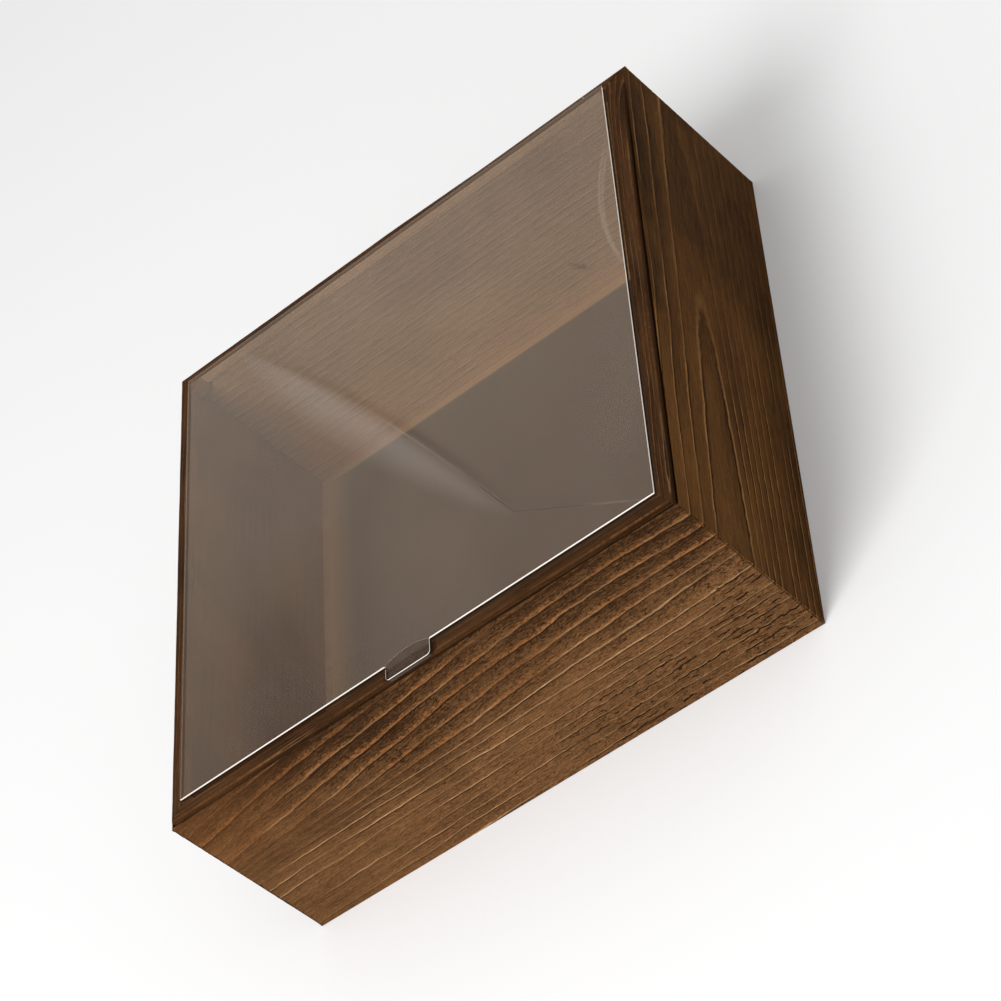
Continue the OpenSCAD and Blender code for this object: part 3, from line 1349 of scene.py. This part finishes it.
# How much wider the lip grows along each board
LIP_GROWTH = {Side.FRONT: 2.0 * MM, Side.RIGHT: 0.0, Side.BACK: 0.0, Side.LEFT: 0.0}
# End at which the groove beside each strip closes: 1 to the right, -1 to the left, 0 neither
CLOSED_END = {Side.FRONT: 0, Side.RIGHT: 1, Side.BACK: -1, Side.LEFT: 0}
# Where along a strip, in millimetres, its outer edge begins to dip, and where it dips most
DIPS = {Side.RIGHT: (112.0, 148.0), Side.BACK: (10.0, -120.0)}


@dataclass(frozen=True)
class Inset:
    """How far in towards the panel a strip reaches at its two ends, in millimetres."""

    start: float
    end: float
    reached: float = 1.0

    def at(self, along: np.ndarray, half: float) -> np.ndarray:
        """Works out the reach at each point of the strip.

        Args:
            along: Millimetres along the strip.
            half: Half the length of its inner edge, in millimetres.

        Returns:
            Millimetres inward, from start to end over the reached share of the length.
        """
        share = np.clip((along + half) / (2 * half * self.reached), 0.0, 1.0)
        return self.start + (self.end - self.start) * share


# How far each strip reaches in past the boards' inner faces
INSETS = {Side.FRONT: Inset(1.0, 3.1, 0.7), Side.RIGHT: Inset(1.0, 3.2), Side.BACK: Inset(1.0, 1.0),
          Side.LEFT: Inset(1.0, 1.7)}


def lip_share(along: np.ndarray) -> np.ndarray:
    """Share of the lip's growth reached along a board, from 0 at its left end to 1."""
    return ease(-150.0, 20.0, along)


@dataclass(frozen=True)
class Face:
    """Grain and finish of one face of a board."""

    grain: Grain
    finish: bpy.types.Material


@dataclass
class Boards:
    """The four mitred side boards."""

    sizes: BoxSizes
    columns: int = 340
    rows: int = 220
    inner_rows: int = 40
    arris: float = 0.6 * MM
    carve_depth: float = 0.65 * MM
    inner_depth: float = 0.08 * MM
    overrun: float = 3.0 * MM
    calm: float = 2.5 * MM
    lip_reach: float = 1.5
    mitre_run: float = 1.6 * MM
    mitre_wear: float = 0.3

    def blank(self) -> bpy.types.Object:
        """Models one board at the front: section, length, mitres and a fine grid on both faces.

        Returns:
            The blank board.
        """
        s = self.sizes
        bpy.ops.mesh.primitive_plane_add(size=1.0, location=(-s.half - self.overrun, 0, 0))
        board = bpy.context.object
        board.rotation_euler = (0.0, math.radians(90.0), 0.0)
        board.scale = (s.board_h, s.board_t, 1.0)
        board.location.y = -s.half + s.board_t / 2
        board.location.z = s.board_h / 2
        place_in_mesh(board)
        self.cut_step(board, y=-s.half + s.lip_w, z=s.strip_base, top=True)
        self.cut_step(board, y=-s.inner_half - s.floor_step, z=s.floor_t, top=False)
        in_edit(board)
        bpy.ops.mesh.select_all(action="SELECT")
        bpy.ops.mesh.dissolve_limited(angle_limit=math.radians(1.0))
        self.round_arrises(board)
        bpy.ops.mesh.select_all(action="SELECT")
        bpy.ops.mesh.extrude_region_move(
            TRANSFORM_OT_translate={"value": (2 * (s.half + self.overrun), 0, 0)})
        bpy.ops.mesh.select_all(action="SELECT")
        bpy.ops.mesh.normals_make_consistent(inside=False)
        cut_mitres(s.half)
        self.divide(board)
        return board

    def cut_step(self, board: bpy.types.Object, y: float, z: float, top: bool) -> None:
        """Cuts a step out of the inner corner of the flat section.

        Args:
            board: The section, one flat face.
            y: Where the step starts through the thickness.
            z: Height of the step's floor or ceiling.
            top: Whether the step is at the top of the section.
        """
        in_edit(board)
        slice_all((0, y, 0), (0, 1, 0))
        slice_all((0, 0, z), (0, 0, 1))
        select_faces(board, lambda c, n: c.y > y and (c.z > z if top else c.z < z))
        bpy.ops.mesh.delete(type="FACE")

    def round_arrises(self, board: bpy.types.Object) -> None:
        """Rounds the section's two outer corners, which become the long outer edges.

        Args:
            board: The section, one flat face, in edit mode.
        """
        s = self.sizes
        in_edit(board)
        bpy.ops.object.mode_set(mode="OBJECT")
        for point in board.data.vertices:
            outer = abs(point.co.y + s.half) < TINY
            point.select = outer and (point.co.z < TINY or point.co.z > s.board_h - TINY)
        bpy.ops.object.mode_set(mode="EDIT")
        bpy.ops.mesh.select_mode(type="VERT")
        bpy.ops.mesh.bevel(offset=self.arris, segments=3, affect="VERTICES")

    def divide(self, board: bpy.types.Object) -> None:
        """Divides the long sides into columns, and both wide faces into rows.

        Blender makes at most 100 cuts at once, so the finer grids are cut into quarters first.

        Args:
            board: The mitred board in edit mode.
        """
        s = self.sizes
        in_edit(board, "EDGE")
        for least, parts in ((s.half, QUARTERS), (s.half / QUARTERS, self.columns // QUARTERS)):
            select_edges(board, lambda a, b: abs(a.x - b.x) > least)
            bpy.ops.mesh.subdivide(number_cuts=parts - 1, smoothness=0.0)
        outer, inner, reach = -s.half, -s.inner_half, s.board_h / 2
        for y, least, parts in ((outer, reach, QUARTERS),
                                (outer, reach / QUARTERS, self.rows // QUARTERS),
                                (inner, reach, self.inner_rows)):
            select_edges(board, lambda a, b: abs(a.y - y) < TINY and abs(b.y - y) < TINY
                         and abs(a.z - b.z) > least)
            bpy.ops.mesh.subdivide(number_cuts=parts - 1, smoothness=0.0)
        bpy.ops.object.mode_set(mode="OBJECT")

    def carve(self, board: bpy.types.Object, inside: Grain, outside: Grain,
              lip_growth: float) -> None:
        """Brushes the grain into the faces and stores its flow for the finishes.

        Args:
            board: A board at the front.
            inside: Course of the grain on the inner face.
            outside: Course of the grain on the outer face and the lip.
            lip_growth: How much wider the lip grows along the board.
        """
        s = self.sizes
        points = coordinates(board)
        along = points[:, 0] / MM
        inward = points[:, 1] + s.half
        lip = s.lip_w + lip_growth * lip_share(along)
        on_outside = inward < self.lip_reach * s.lip_w
        wrapped = np.where(on_outside, inward / s.lip_w * lip, 0.0)
        up = (points[:, 2] + wrapped) / MM
        count = np.where(on_outside, outside.shaken(along, up), inside.shaken(along, up))
        outer_zones, inner_zones = outside.zones(along, up, count), inside.zones(along, up, count)
        zones = {name: np.where(on_outside, outer_zones[name], inner_zones[name]) for name in ZONES}
        height = np.where(on_outside, outside.height(along, count, zones),
                          inside.height(along, count, zones))
        outer = np.clip(1.0 - (points[:, 1] + s.half) / (self.arris * 1.01), 0.0, 1.0)
        rim = s.board_h - points[:, 2]
        outer *= 0.3 + 0.7 * ease(0.0, self.calm, np.minimum(rim, points[:, 2]))
        inner = (points[:, 1] > -s.inner_half - TINY).astype(float)
        wall = (np.abs(points[:, 1] + s.half - s.lip_w) < TINY) & (points[:, 2] > s.strip_base - TINY)
        points[:, 1] += outer * (1.0 - height) * self.carve_depth
        points[:, 1] -= inner * (1.0 - height) * self.inner_depth
        run = self.mitre_run
        edge = np.clip((np.abs(points[:, 0]) - s.half + run) / run, 0.0, 1.0)
        points[:, 1] += outer * edge ** 2 * self.mitre_wear * MM
        points[:, 1] += wall * lip_growth * lip_share(along)
        write_coordinates(board, points)
        write_grain(board, along, count, zones)

    def build(self, insides: dict[Side, Face], outsides: dict[Side, Face]) -> None:
        """Builds, carves, turns and dresses the four boards.

        Args:
            insides: Grain and finish of each side's inner face.
            outsides: Grain and finish of each side's outer face.
        """
        blank = self.blank()
        edge = self.lip_reach * self.sizes.lip_w - self.sizes.half
        for face in blank.data.polygons:
            face.material_index = int(face.center.y < edge)
        for side in Side:
            board = copy_piece(blank, f"{side.name.lower()}_brushed_board")
            inside, outside = insides[side], outsides[side]
            self.carve(board, inside.grain, outside.grain, LIP_GROWTH[side])
            board.data.materials.append(inside.finish)
            board.data.materials.append(outside.finish)
            board.data.transform(side.turn)
            finish_smooth(board, 50.0)
            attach(board, "box")
            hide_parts(side.node("board"))
            log.info("board %s: %d faces", board.name, len(board.data.polygons))
        bpy.data.objects.remove(blank)


@dataclass
class RimStrips:
    """The four mitred strips that stand above the boards' lip."""

    sizes: BoxSizes
    columns: int = 101
    rows: int = 8
    edge: float = 1.1 * MM
    wander: float = 0.22 * MM
    tab_gap: float = 0.5 * MM
    overrun: float = 3.0 * MM
    streak_width: float = 2.2
    closing: float = 1.3 * MM
    closing_from: float = 60.0
    mitre_run: float = 22.0
    dip: float = 2.4 * MM
    narrowing: float = 0.6 * MM
    landing_run: float = 14 * MM
    landing_h: float = 4 * MM
    landing_gap: float = 0.05 * MM

    def blank(self) -> bpy.types.Object:
        """Models one strip at the front.

        Returns:
            The blank strip.
        """
        s = self.sizes
        width = s.strip_outer - s.inner_half
        height = s.strip_top - s.strip_base
        bpy.ops.mesh.primitive_cube_add(size=1.0)
        strip = bpy.context.object
        strip.scale = (2 * (s.half + self.overrun), width, height)
        strip.location = (0, -s.inner_half - width / 2, s.strip_base + height / 2)
        place_in_mesh(strip)
        in_edit(strip, "EDGE")
        select_edges(strip, lambda a, b: a.z > s.strip_top - TINY and b.z > s.strip_top - TINY
                     and abs(a.x - b.x) > s.half)
        bpy.ops.mesh.bevel(offset=self.edge, segments=4, affect="EDGES")
        cut_mitres(s.half)
        select_edges(strip, lambda a, b: abs(a.x - b.x) > s.half)
        bpy.ops.mesh.subdivide(number_cuts=self.columns - 1, smoothness=0.0)
        flat = width - 2.2 * self.edge
        select_edges(strip, lambda a, b: abs(a.y - b.y) > flat and a.z > s.strip_top - TINY
                     and b.z > s.strip_top - TINY)
        bpy.ops.mesh.subdivide(number_cuts=self.rows - 1, smoothness=0.0)
        bpy.ops.object.mode_set(mode="OBJECT")
        return strip

    def reach_in(self, strip: bpy.types.Object, side: Side) -> None:
        """Brings the strip's inner edge close to the panel, and its mitres with it.

        Args:
            strip: A strip at the front.
            side: The side that the strip is for.
        """
        s = self.sizes
        points = coordinates(strip)
        half = s.inner_half / MM
        along = points[:, 0] / MM
        inward = np.clip((points[:, 1] + s.strip_outer) / (s.strip_outer - s.inner_half), 0.0, 1.0)
        before, after = Side((side.value - 1) % len(Side)), Side((side.value + 1) % len(Side))
        near_end = np.clip((along - half + self.mitre_run) / self.mitre_run, 0.0, 1.0)
        near_start = np.clip((-along - half + self.mitre_run) / self.mitre_run, 0.0, 1.0)
        points[:, 1] += inward * INSETS[side].at(along, half) * MM
        points[:, 0] -= inward * near_end * INSETS[after].start * MM
        points[:, 0] += inward * near_start * INSETS[before].end * MM
        high = np.clip((points[:, 2] - s.strip_base) / (s.strip_top - s.strip_base), 0.0, 1.0)
        if side in DIPS:
            begin, full = DIPS[side]
            points[:, 2] -= self.dip * high * (1.0 - inward) * ease(begin, full, along)
        write_coordinates(strip, points)

    def wear(self, strip: bpy.types.Object, side: Side) -> None:
        """Lets the top and its edges wander a little, as on hand-rubbed strips.

        Args:
            strip: A strip at the front.
            side: The side that the strip is for.
        """
        seed, lip_growth, closed_end = 40 + 7 * side.value, LIP_GROWTH[side], CLOSED_END[side]
        s = self.sizes
        points = coordinates(strip)
        along, across = points[:, 0] / MM, (points[:, 1] + s.half) / MM
        high = points[:, 2] - s.strip_base > 0.5 * (s.strip_top - s.strip_base)
        slow = 0.5 + 0.5 * value_noise(along / 16.0, across / 3.0, seed)
        fine = 0.5 + 0.5 * value_noise(along / 5.0, across / 0.9, seed + 1)
        points[:, 2] -= np.where(high, self.wander * (0.6 * slow + 0.4 * fine), 0.0)
        outward = np.clip((-s.inner_half - points[:, 1]) / (s.strip_outer - s.inner_half), 0.0, 1.0)
        points[:, 1] += outward * lip_growth * lip_share(along)
        if lip_growth > 0.0:
            points[:, 1] -= outward * self.narrowing * (1.0 - lip_share(along))
        if closed_end:
            points[:, 1] -= outward * self.closing * ease(self.closing_from, 150.0, closed_end * along)
            points[:, 0] += closed_end * outward * self.closing * ease(144.0, 147.0, closed_end * along)
        write_coordinates(strip, points)
        count = (across - points[:, 2] / MM) / self.streak_width
        count = count + 0.5 * value_noise(along / 60.0, across / 5.0, seed + 2)
        streaks = np.clip(0.35 + 0.9 * value_noise(along / 24.0, np.floor(count) * 3.7, seed + 3), 0, 1)
        glow = np.clip(0.2 + 0.8 * value_noise(along / 30.0, across / 4.0, seed + 4), 0.0, 1.0)
        zones = {"lines": 0.75 * streaks, "lumps": 0.8 * glow, "cracks": 0.25 * glow,
                 "tone": 0.45 + 0.25 * value_noise(along / 40.0, across / 3.0, seed + 5),
                 "nap": np.full_like(along, 0.3), "across": count * self.streak_width,
                 "warm": np.zeros_like(along)}
        write_grain(strip, along, count, zones)

    def cut_landing(self, strip: bpy.types.Object) -> None:
        """Sinks the shallow landing of the pull tab into the front strip.

        Args:
            strip: The front strip.
        """
        s = self.sizes
        bpy.ops.mesh.primitive_cube_add(size=1.0)
        cutter = bpy.context.object
        reach = s.strip_outer - s.inner_half + self.landing_run
        cutter.scale = (s.tab_w + 2 * self.tab_gap, reach, self.landing_h)
        cutter.location = (0, -(s.strip_outer + s.inner_half) / 2,
                           s.panel_base + self.landing_h / 2 - self.landing_gap)
        place_in_mesh(cutter)
        cut_away(strip, cutter, "landing")

    def build(self, finish: bpy.types.Material, insides: dict[Side, Face]) -> None:
        """Builds, wears, turns and dresses the four strips.

        Args:
            finish: The rim's material.
            insides: The boards' inner faces, whose finish the strips' inner flanks take.
        """
        blank = self.blank()
        for side in Side:
            strip = copy_piece(blank, f"{side.name.lower()}_rubbed_strip")
            self.reach_in(strip, side)
            self.wear(strip, side)
            if side is Side.FRONT:
                self.cut_landing(strip)
            strip.data.transform(side.turn)
            strip.data.materials.clear()
            strip.data.materials.append(finish)
            strip.data.materials.append(insides[side].finish)
            inward = side.turn.to_3x3() @ Vector((0.0, 1.0, 0.0))
            for face in strip.data.polygons:
                face.material_index = 1 if face.normal.dot(inward) > 0.85 else 0
            finish_smooth(strip, 50.0)
            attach(strip, "box")
            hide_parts(side.node("strip"))
            log.info("strip %s: %d faces", strip.name, len(strip.data.polygons))
        bpy.data.objects.remove(blank)


@dataclass
class ClearLid:
    """The clear panel with its pull tab."""

    sizes: BoxSizes
    relief_depth: float = 0.4 * MM
    relief_in: float = 3.0 * MM
    relief_over: float = 0.5 * MM
    draw_right: float = 2.2 * MM
    draw_left: float = 0.7 * MM
    draw_front: float = 2.1 * MM

    def plate(self) -> bpy.types.Object:
        """Models the panel and draws the tab out of its front edge.

        Returns:
            The panel.
        """
        s = self.sizes
        thick = s.panel_top - s.panel_base
        bpy.ops.mesh.primitive_cube_add(size=1.0)
        lid = bpy.context.object
        lid.name = "clear_lid"
        lid.scale = (2 * s.panel_half, 2 * s.panel_half, thick)
        lid.location = (0, 0, s.panel_base + thick / 2)
        place_in_mesh(lid)
        in_edit(lid, "FACE")
        for x in (-s.tab_w / 2, s.tab_w / 2):
            slice_all((x, 0, 0), (1, 0, 0))
        select_faces(lid, lambda c, n: n.y < -0.9 and abs(c.x) < s.tab_w / 4)
        bpy.ops.mesh.extrude_region_move(
            TRANSFORM_OT_translate={"value": (0, s.panel_half - s.tab_tip, 0)})
        select_edges(lid, lambda a, b: abs(a.z - b.z) > thick / 2 and a.y < -s.tab_tip + TINY)
        bpy.ops.mesh.bevel(offset=s.tab_r, segments=8, affect="EDGES")
        bpy.ops.object.mode_set(mode="OBJECT")
        return lid

    def thumb_relief(self, lid: bpy.types.Object) -> None:
        """Sinks the crescent that the thumb finds at the root of the tab.

        Args:
            lid: The panel.
        """
        s = self.sizes
        chord = s.tab_w / 2 + self.relief_over
        radius = (chord ** 2 + self.relief_in ** 2) / (2 * self.relief_in)
        depth = 4 * MM
        bpy.ops.mesh.primitive_cylinder_add(
            vertices=256, radius=radius, depth=depth,
            location=(0, self.relief_in - radius - s.panel_half,
                      s.panel_top - self.relief_depth + depth / 2))
        cut_away(lid, bpy.context.object, "thumb_relief")

    def settle_square(self, lid: bpy.types.Object) -> None:
        """Draws three sides in a little, because the sheet was cut out of square.

        Args:
            lid: The panel.
        """
        s = self.sizes
        points = coordinates(lid)
        back = np.clip((points[:, 1] + s.panel_half) / (2 * s.panel_half), 0.0, 1.0)
        points[:, 0] -= np.where(points[:, 0] > s.tab_w, self.draw_right * back, 0.0)
        points[:, 0] += np.where(points[:, 0] < -s.tab_w, self.draw_left * (1.0 - back), 0.0)
        ahead = points[:, 1] < -s.panel_half + 2 * self.relief_in
        points[:, 1] += np.where(ahead, self.front_draw(points[:, 0]), 0.0)
        write_coordinates(lid, points)

    def front_draw(self, x: np.ndarray | float) -> np.ndarray | float:
        """How far the front edge is drawn in at a place across the panel, in metres."""
        half = self.sizes.panel_half
        return self.draw_front * np.clip((x + half) / (1.4 * half), 0.0, 1.0)

    def build(self, faces: bpy.types.Material, edges: bpy.types.Material,
              rubbed: bpy.types.Material, arc: bpy.types.Material) -> None:
        """Builds and dresses the lid.

        Args:
            faces: Material of the large faces.
            edges: Material of the polished edges.
            rubbed: Material of the tab and its thumb relief.
            arc: Material of the relief's curved wall.
        """
        s = self.sizes
        lid = self.plate()
        self.thumb_relief(lid)
        self.settle_square(lid)
        for material in (faces, edges, rubbed, arc):
            lid.data.materials.append(material)
        floor = s.panel_top - self.relief_depth
        for face in lid.data.polygons:
            upright = abs(face.normal.z) < 0.5
            in_relief = face.center.z > floor - TINY and face.center.z < s.panel_top - TINY
            outside = max(abs(face.center.x), abs(face.center.y)) > s.panel_half - 2 * self.relief_in
            front = self.front_draw(face.center.x) - s.panel_half
            on_tab = face.center.y < front + TINY
            if upright and outside and not (in_relief and not on_tab):
                face.material_index = 1
            elif upright and in_relief:
                face.material_index = 3
            elif on_tab or in_relief:
                face.material_index = 2
        finish_smooth(lid, 30.0)
        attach(lid, "lid")
        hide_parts("lid_panel")
        log.info("lid %s: %d faces", lid.name, len(lid.data.polygons))


@dataclass
class Lining:
    """The sheet that lies on the floor."""

    sizes: BoxSizes
    cells: int = 60
    cockle: float = 0.12 * MM
    cockle_size: float = 0.045
    cockle_seed: int = 91
    flat_edge: float = 0.01

    def build(self, finish: bpy.types.Material) -> None:
        """Builds and dresses the lining sheet.

        Args:
            finish: The lining's material.
        """
        s = self.sizes
        top = s.floor_t + s.lining_t
        bpy.ops.mesh.primitive_grid_add(x_subdivisions=self.cells, y_subdivisions=self.cells,
                                        size=2 * s.lining_half, location=(0, 0, top))
        sheet = bpy.context.object
        sheet.name = "lining_sheet"
        place_in_mesh(sheet)
        points = coordinates(sheet)
        away = s.lining_half - np.maximum(np.abs(points[:, 0]), np.abs(points[:, 1]))
        wave = 0.5 + 0.5 * value_noise(points[:, 0] / self.cockle_size,
                                       points[:, 1] / self.cockle_size, self.cockle_seed)
        points[:, 2] -= self.cockle * wave * np.clip(away / self.flat_edge, 0.0, 1.0)
        write_coordinates(sheet, points)
        take_up(sheet)
        body = sheet.modifiers.new("thickness", "SOLIDIFY")
        body.thickness = s.lining_t - self.cockle
        body.offset = -1.0
        bpy.ops.object.modifier_apply(modifier=body.name)
        sheet.data.materials.append(finish)
        finish_smooth(sheet, 40.0)
        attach(sheet, "box")
        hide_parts("floor_lining")
        log.info("lining %s: %d faces", sheet.name, len(sheet.data.polygons))


@dataclass
class Studio:
    """Camera, floor and soft light."""

    aim: tuple[float, float, float] = (0.0153, -0.0160, 0.05)
    distance: float = 1.5677
    azimuth: float = 31.8041
    elevation: float = 33.7334
    roll: float = -52.3346
    lens: float = 119.6367
    floor_size: float = 12.0
    floor_lift: float = 0.08
    surround: float = 0.52
    key_place: tuple[float, float, float] = (-0.9, -1.9, 2.3)
    key_size: float = 1.6
    key_power: float = 62.0

    def camera(self) -> None:
        """Sets the camera at the photograph's viewing angle."""
        turn, rise = math.radians(self.azimuth), math.radians(self.elevation)
        ahead = Vector((-math.sin(turn) * math.cos(rise), math.cos(turn) * math.cos(rise),
                        -math.sin(rise)))
        data = bpy.data.cameras.new("camera")
        data.sensor_width = 36.0
        data.lens = self.lens
        data.clip_start = 0.05
        data.clip_end = 60.0
        camera = bpy.data.objects.new("camera", data)
        bpy.context.collection.objects.link(camera)
        level = ahead.to_track_quat("-Z", "Y").to_matrix().to_4x4()
        spin = Matrix.Rotation(math.radians(self.roll), 4, "Z")
        camera.matrix_world = (Matrix.Translation(Vector(self.aim) - ahead * self.distance)
                               @ level @ spin)
        bpy.context.scene.camera = camera

    def looked_at(self, sheet: NodeSheet) -> Socket:
        """Tells looks from light: 1 for the camera, a reflection or clear sheet, 0 otherwise.

        Args:
            sheet: Node sheet of a material or of the world.

        Returns:
            Socket of that value.
        """
        path = sheet.add("ShaderNodeLightPath").outputs
        seen = sheet.math("MAXIMUM", path["Is Camera Ray"], path["Is Glossy Ray"])
        return sheet.math("MAXIMUM", seen, path["Is Transmission Ray"])

    def floor(self) -> None:
        """Lays the pale floor."""
        bpy.ops.mesh.primitive_plane_add(size=self.floor_size, location=(0, 0, 0))
        floor = bpy.context.object
        floor.name = "studio_floor"
        material = bpy.data.materials.new("pale_floor")
        material.use_nodes = True
        sheet = NodeSheet(material.node_tree)
        glow = sheet.rescale(self.looked_at(sheet), 0.0, 1.0, 0.0, self.floor_lift)
        sheet.fill(material.node_tree.nodes["Principled BSDF"], Base_Color=(0.93, 0.93, 0.93, 1.0),
                   Roughness=0.9, Specular_IOR_Level=0.0, Emission_Color=(1.0, 1.0, 1.0, 1.0),
                   Emission_Strength=glow)
        floor.data.materials.append(material)

    def lights(self) -> None:
        """Hangs one large soft lamp and sets an even pale surround."""
        world = bpy.data.worlds.new("soft_surround")
        world.use_nodes = True
        bpy.context.scene.world = world
        sheet = NodeSheet(world.node_tree)
        strength = sheet.rescale(self.looked_at(sheet), 0.0, 1.0, self.surround, 1.0)
        sheet.fill(world.node_tree.nodes["Background"], Color=(1.0, 1.0, 1.0, 1.0),
                   Strength=strength)
        self.lamp("key", self.key_place, self.key_size, self.key_power)

    def lamp(self, name: str, place: tuple[float, float, float], size: float, power: float) -> None:
        """Hangs one square area lamp that faces the box.

        Args:
            name: Name of the lamp.
            place: Where it hangs.
            size: Length of its sides.
            power: Its power in watts.
        """
        data = bpy.data.lights.new(name, "AREA")
        data.size = size
        data.energy = power
        lamp = bpy.data.objects.new(name, data)
        lamp.matrix_world = (Matrix.Translation(place)
                             @ (-Vector(place)).to_track_quat("-Z", "Y").to_matrix().to_4x4())
        bpy.context.collection.objects.link(lamp)

    def build(self) -> None:
        """Sets up the camera, the floor, the light and the view transform."""
        self.camera()
        self.floor()
        self.lights()
        bpy.context.scene.view_settings.view_transform = "Standard"


def dress_frame_nodes(names: list[str], finish: bpy.types.Material) -> None:
    """Gives carried-over frame nodes a finish.

    Args:
        names: The nodes.
        finish: The material that they take.
    """
    for name in names:
        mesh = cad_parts[name].data
        mesh.materials.clear()
        mesh.materials.append(finish)
        log.info("node %s takes %s", name, finish.name)


def board_faces(grain: bpy.types.NodeTree,
                wear: bpy.types.NodeTree) -> tuple[dict[Side, Face], dict[Side, Face]]:
    """Chooses the grain and finish of each board's two faces.

    Args:
        grain: The group of rings, lumps, cracks and felt.
        wear: The group of blotches and dust.

    Returns:
        The inner faces and the outer faces.
    """
    front = StainedWood(
        "front_board_wood", deep=(0.040, 0.016, 0.0048), light=(0.275, 0.127, 0.048),
        ember=(0.38, 0.150, 0.046), tan=(0.72, 0.43, 0.205), dark=(0.024, 0.010, 0.004),
        seed=3.0, felt_depth=0.75)
    # The right board's colours are darkened as painted shade for the side that faces away from the lamp
    right = StainedWood(
        "right_board_wood", deep=(0.034, 0.0140, 0.0036), light=(0.190, 0.080, 0.0195),
        ember=(0.20, 0.09, 0.03), tan=(0.44, 0.21, 0.070), dark=(0.011, 0.005, 0.002),
        seed=17.0, ring_width=9.0, felt_depth=0.3, fibre_depth=0.36, blotch_depth=0.15)
    # The inner faces' colours are painted lighter than the outer wood, as painted light inside the box;
    # the back inside, which faces the lamp, most of all
    back = StainedWood(
        "back_inside_wood", deep=(0.110, 0.058, 0.025), light=(0.47, 0.262, 0.120),
        ember=(0.50, 0.185, 0.050), tan=(0.50, 0.30, 0.15), dark=(0.050, 0.024, 0.010),
        seed=29.0, ring_width=4.6, felt_depth=0.25, ring_depth=0.16)
    left = StainedWood(
        "left_inside_wood", deep=(0.052, 0.019, 0.004), light=(0.330, 0.125, 0.024),
        ember=(0.25, 0.085, 0.02), tan=(0.26, 0.13, 0.055), dark=(0.020, 0.009, 0.003),
        seed=43.0, ring_width=5.4, felt_depth=0.20, fibre_depth=0.08, blotch_depth=0.22,
        ring_depth=0.07)
    behind = replace(front, name="back_board_wood", seed=71.0, ring_width=9.0)
    beside = replace(front, name="left_board_wood", seed=61.0)
    quiet = left.material(grain, wear)
    insides = {
        Side.FRONT: Face(Grain(seed=83, ring_width=5.4, line_share=0.08), quiet),
        Side.RIGHT: Face(Grain(seed=89, ring_width=5.4, line_share=0.08), quiet),
        Side.BACK: Face(Grain(seed=29, ring_width=4.6, line_share=0.42, knot_along=-56.0,
                              knot_up=23.0, knot_size=1.9, warm_along=128.0, warm_size=36.0,
                              painted_foot_light=0.5), back.material(grain, wear)),
        Side.LEFT: Face(Grain(seed=43, ring_width=5.4, line_share=0.08, warm_along=-138.0,
                              warm_size=20.0), quiet),
    }
    outsides = {
        Side.FRONT: Face(RisingGrain(seed=3), front.material(grain, wear)),
        Side.RIGHT: Face(TongueGrain(seed=17), right.material(grain, wear)),
        Side.BACK: Face(TongueGrain(seed=71, tongue_height=40.0, start=-175.0, spread=1.4),
                        behind.material(grain, wear)),
        Side.LEFT: Face(RisingGrain(seed=61, level_from=110.0, climb=0.9),
                        beside.material(grain, wear)),
    }
    return insides, outsides


def main() -> None:
    """Builds the studio and then the box from the outside in."""
    logging.basicConfig(level=logging.INFO, format="%(message)s")
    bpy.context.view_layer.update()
    sizes = BoxSizes.from_frame()
    Studio().build()
    grain, wear = build_grain_group(), build_wear_group()
    insides, outsides = board_faces(grain, wear)
    Boards(sizes).build(insides, outsides)

    # The rim's dark colours are partly its dark stain and partly painted shade on its tops; its lowest
    # part darkens further as painted shade in the groove
    rim = StainedWood(
        "rim_wood", deep=(0.022, 0.009, 0.003), light=(0.120, 0.051, 0.018),
        ember=(0.23, 0.092, 0.030), tan=(0.34, 0.18, 0.080), dark=(0.008, 0.004, 0.002),
        seed=5.0, ring_width=2.2, felt_depth=0.4, fibre_depth=0.3, painted_shade_from=0.0975,
        painted_shade_to=0.1008)
    RimStrips(sizes).build(rim.material(grain, wear), insides)
    rest = PlainWood("rest_wood", deep=(0.050, 0.021, 0.008), light=(0.21, 0.085, 0.030), seed=0.3)
    dress_frame_nodes(["front_left_rest", "front_right_rest", "back_right_rest", "back_left_rest"],
                      rest.material(wear))
    base = PlainWood("floor_wood", deep=(0.20, 0.108, 0.045), light=(0.56, 0.315, 0.140), seed=0.7,
                     figure_depth=0.4)
    dress_frame_nodes(["floor_panel"], base.material(wear))
    dress_frame_nodes(["floor_brads", "strip_brads"], BradSteel().material())
    Lining(sizes).build(LiningPaper().material())

    clear = ClearSheet(middle=(sizes.panel_base + sizes.panel_top) / 2)
    ClearLid(sizes).build(clear.material(wear),
                          clear.edge_material(sizes.panel_base, sizes.panel_top),
                          clear.rubbed_material("rubbed_tab", (0.16, 0.10, 0.065), 0.08, 0.20),
                          clear.rubbed_material("relief_arc", clear.haze, 0.20, 0.45))

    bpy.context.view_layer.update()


if __name__ == "__main__":
    main()
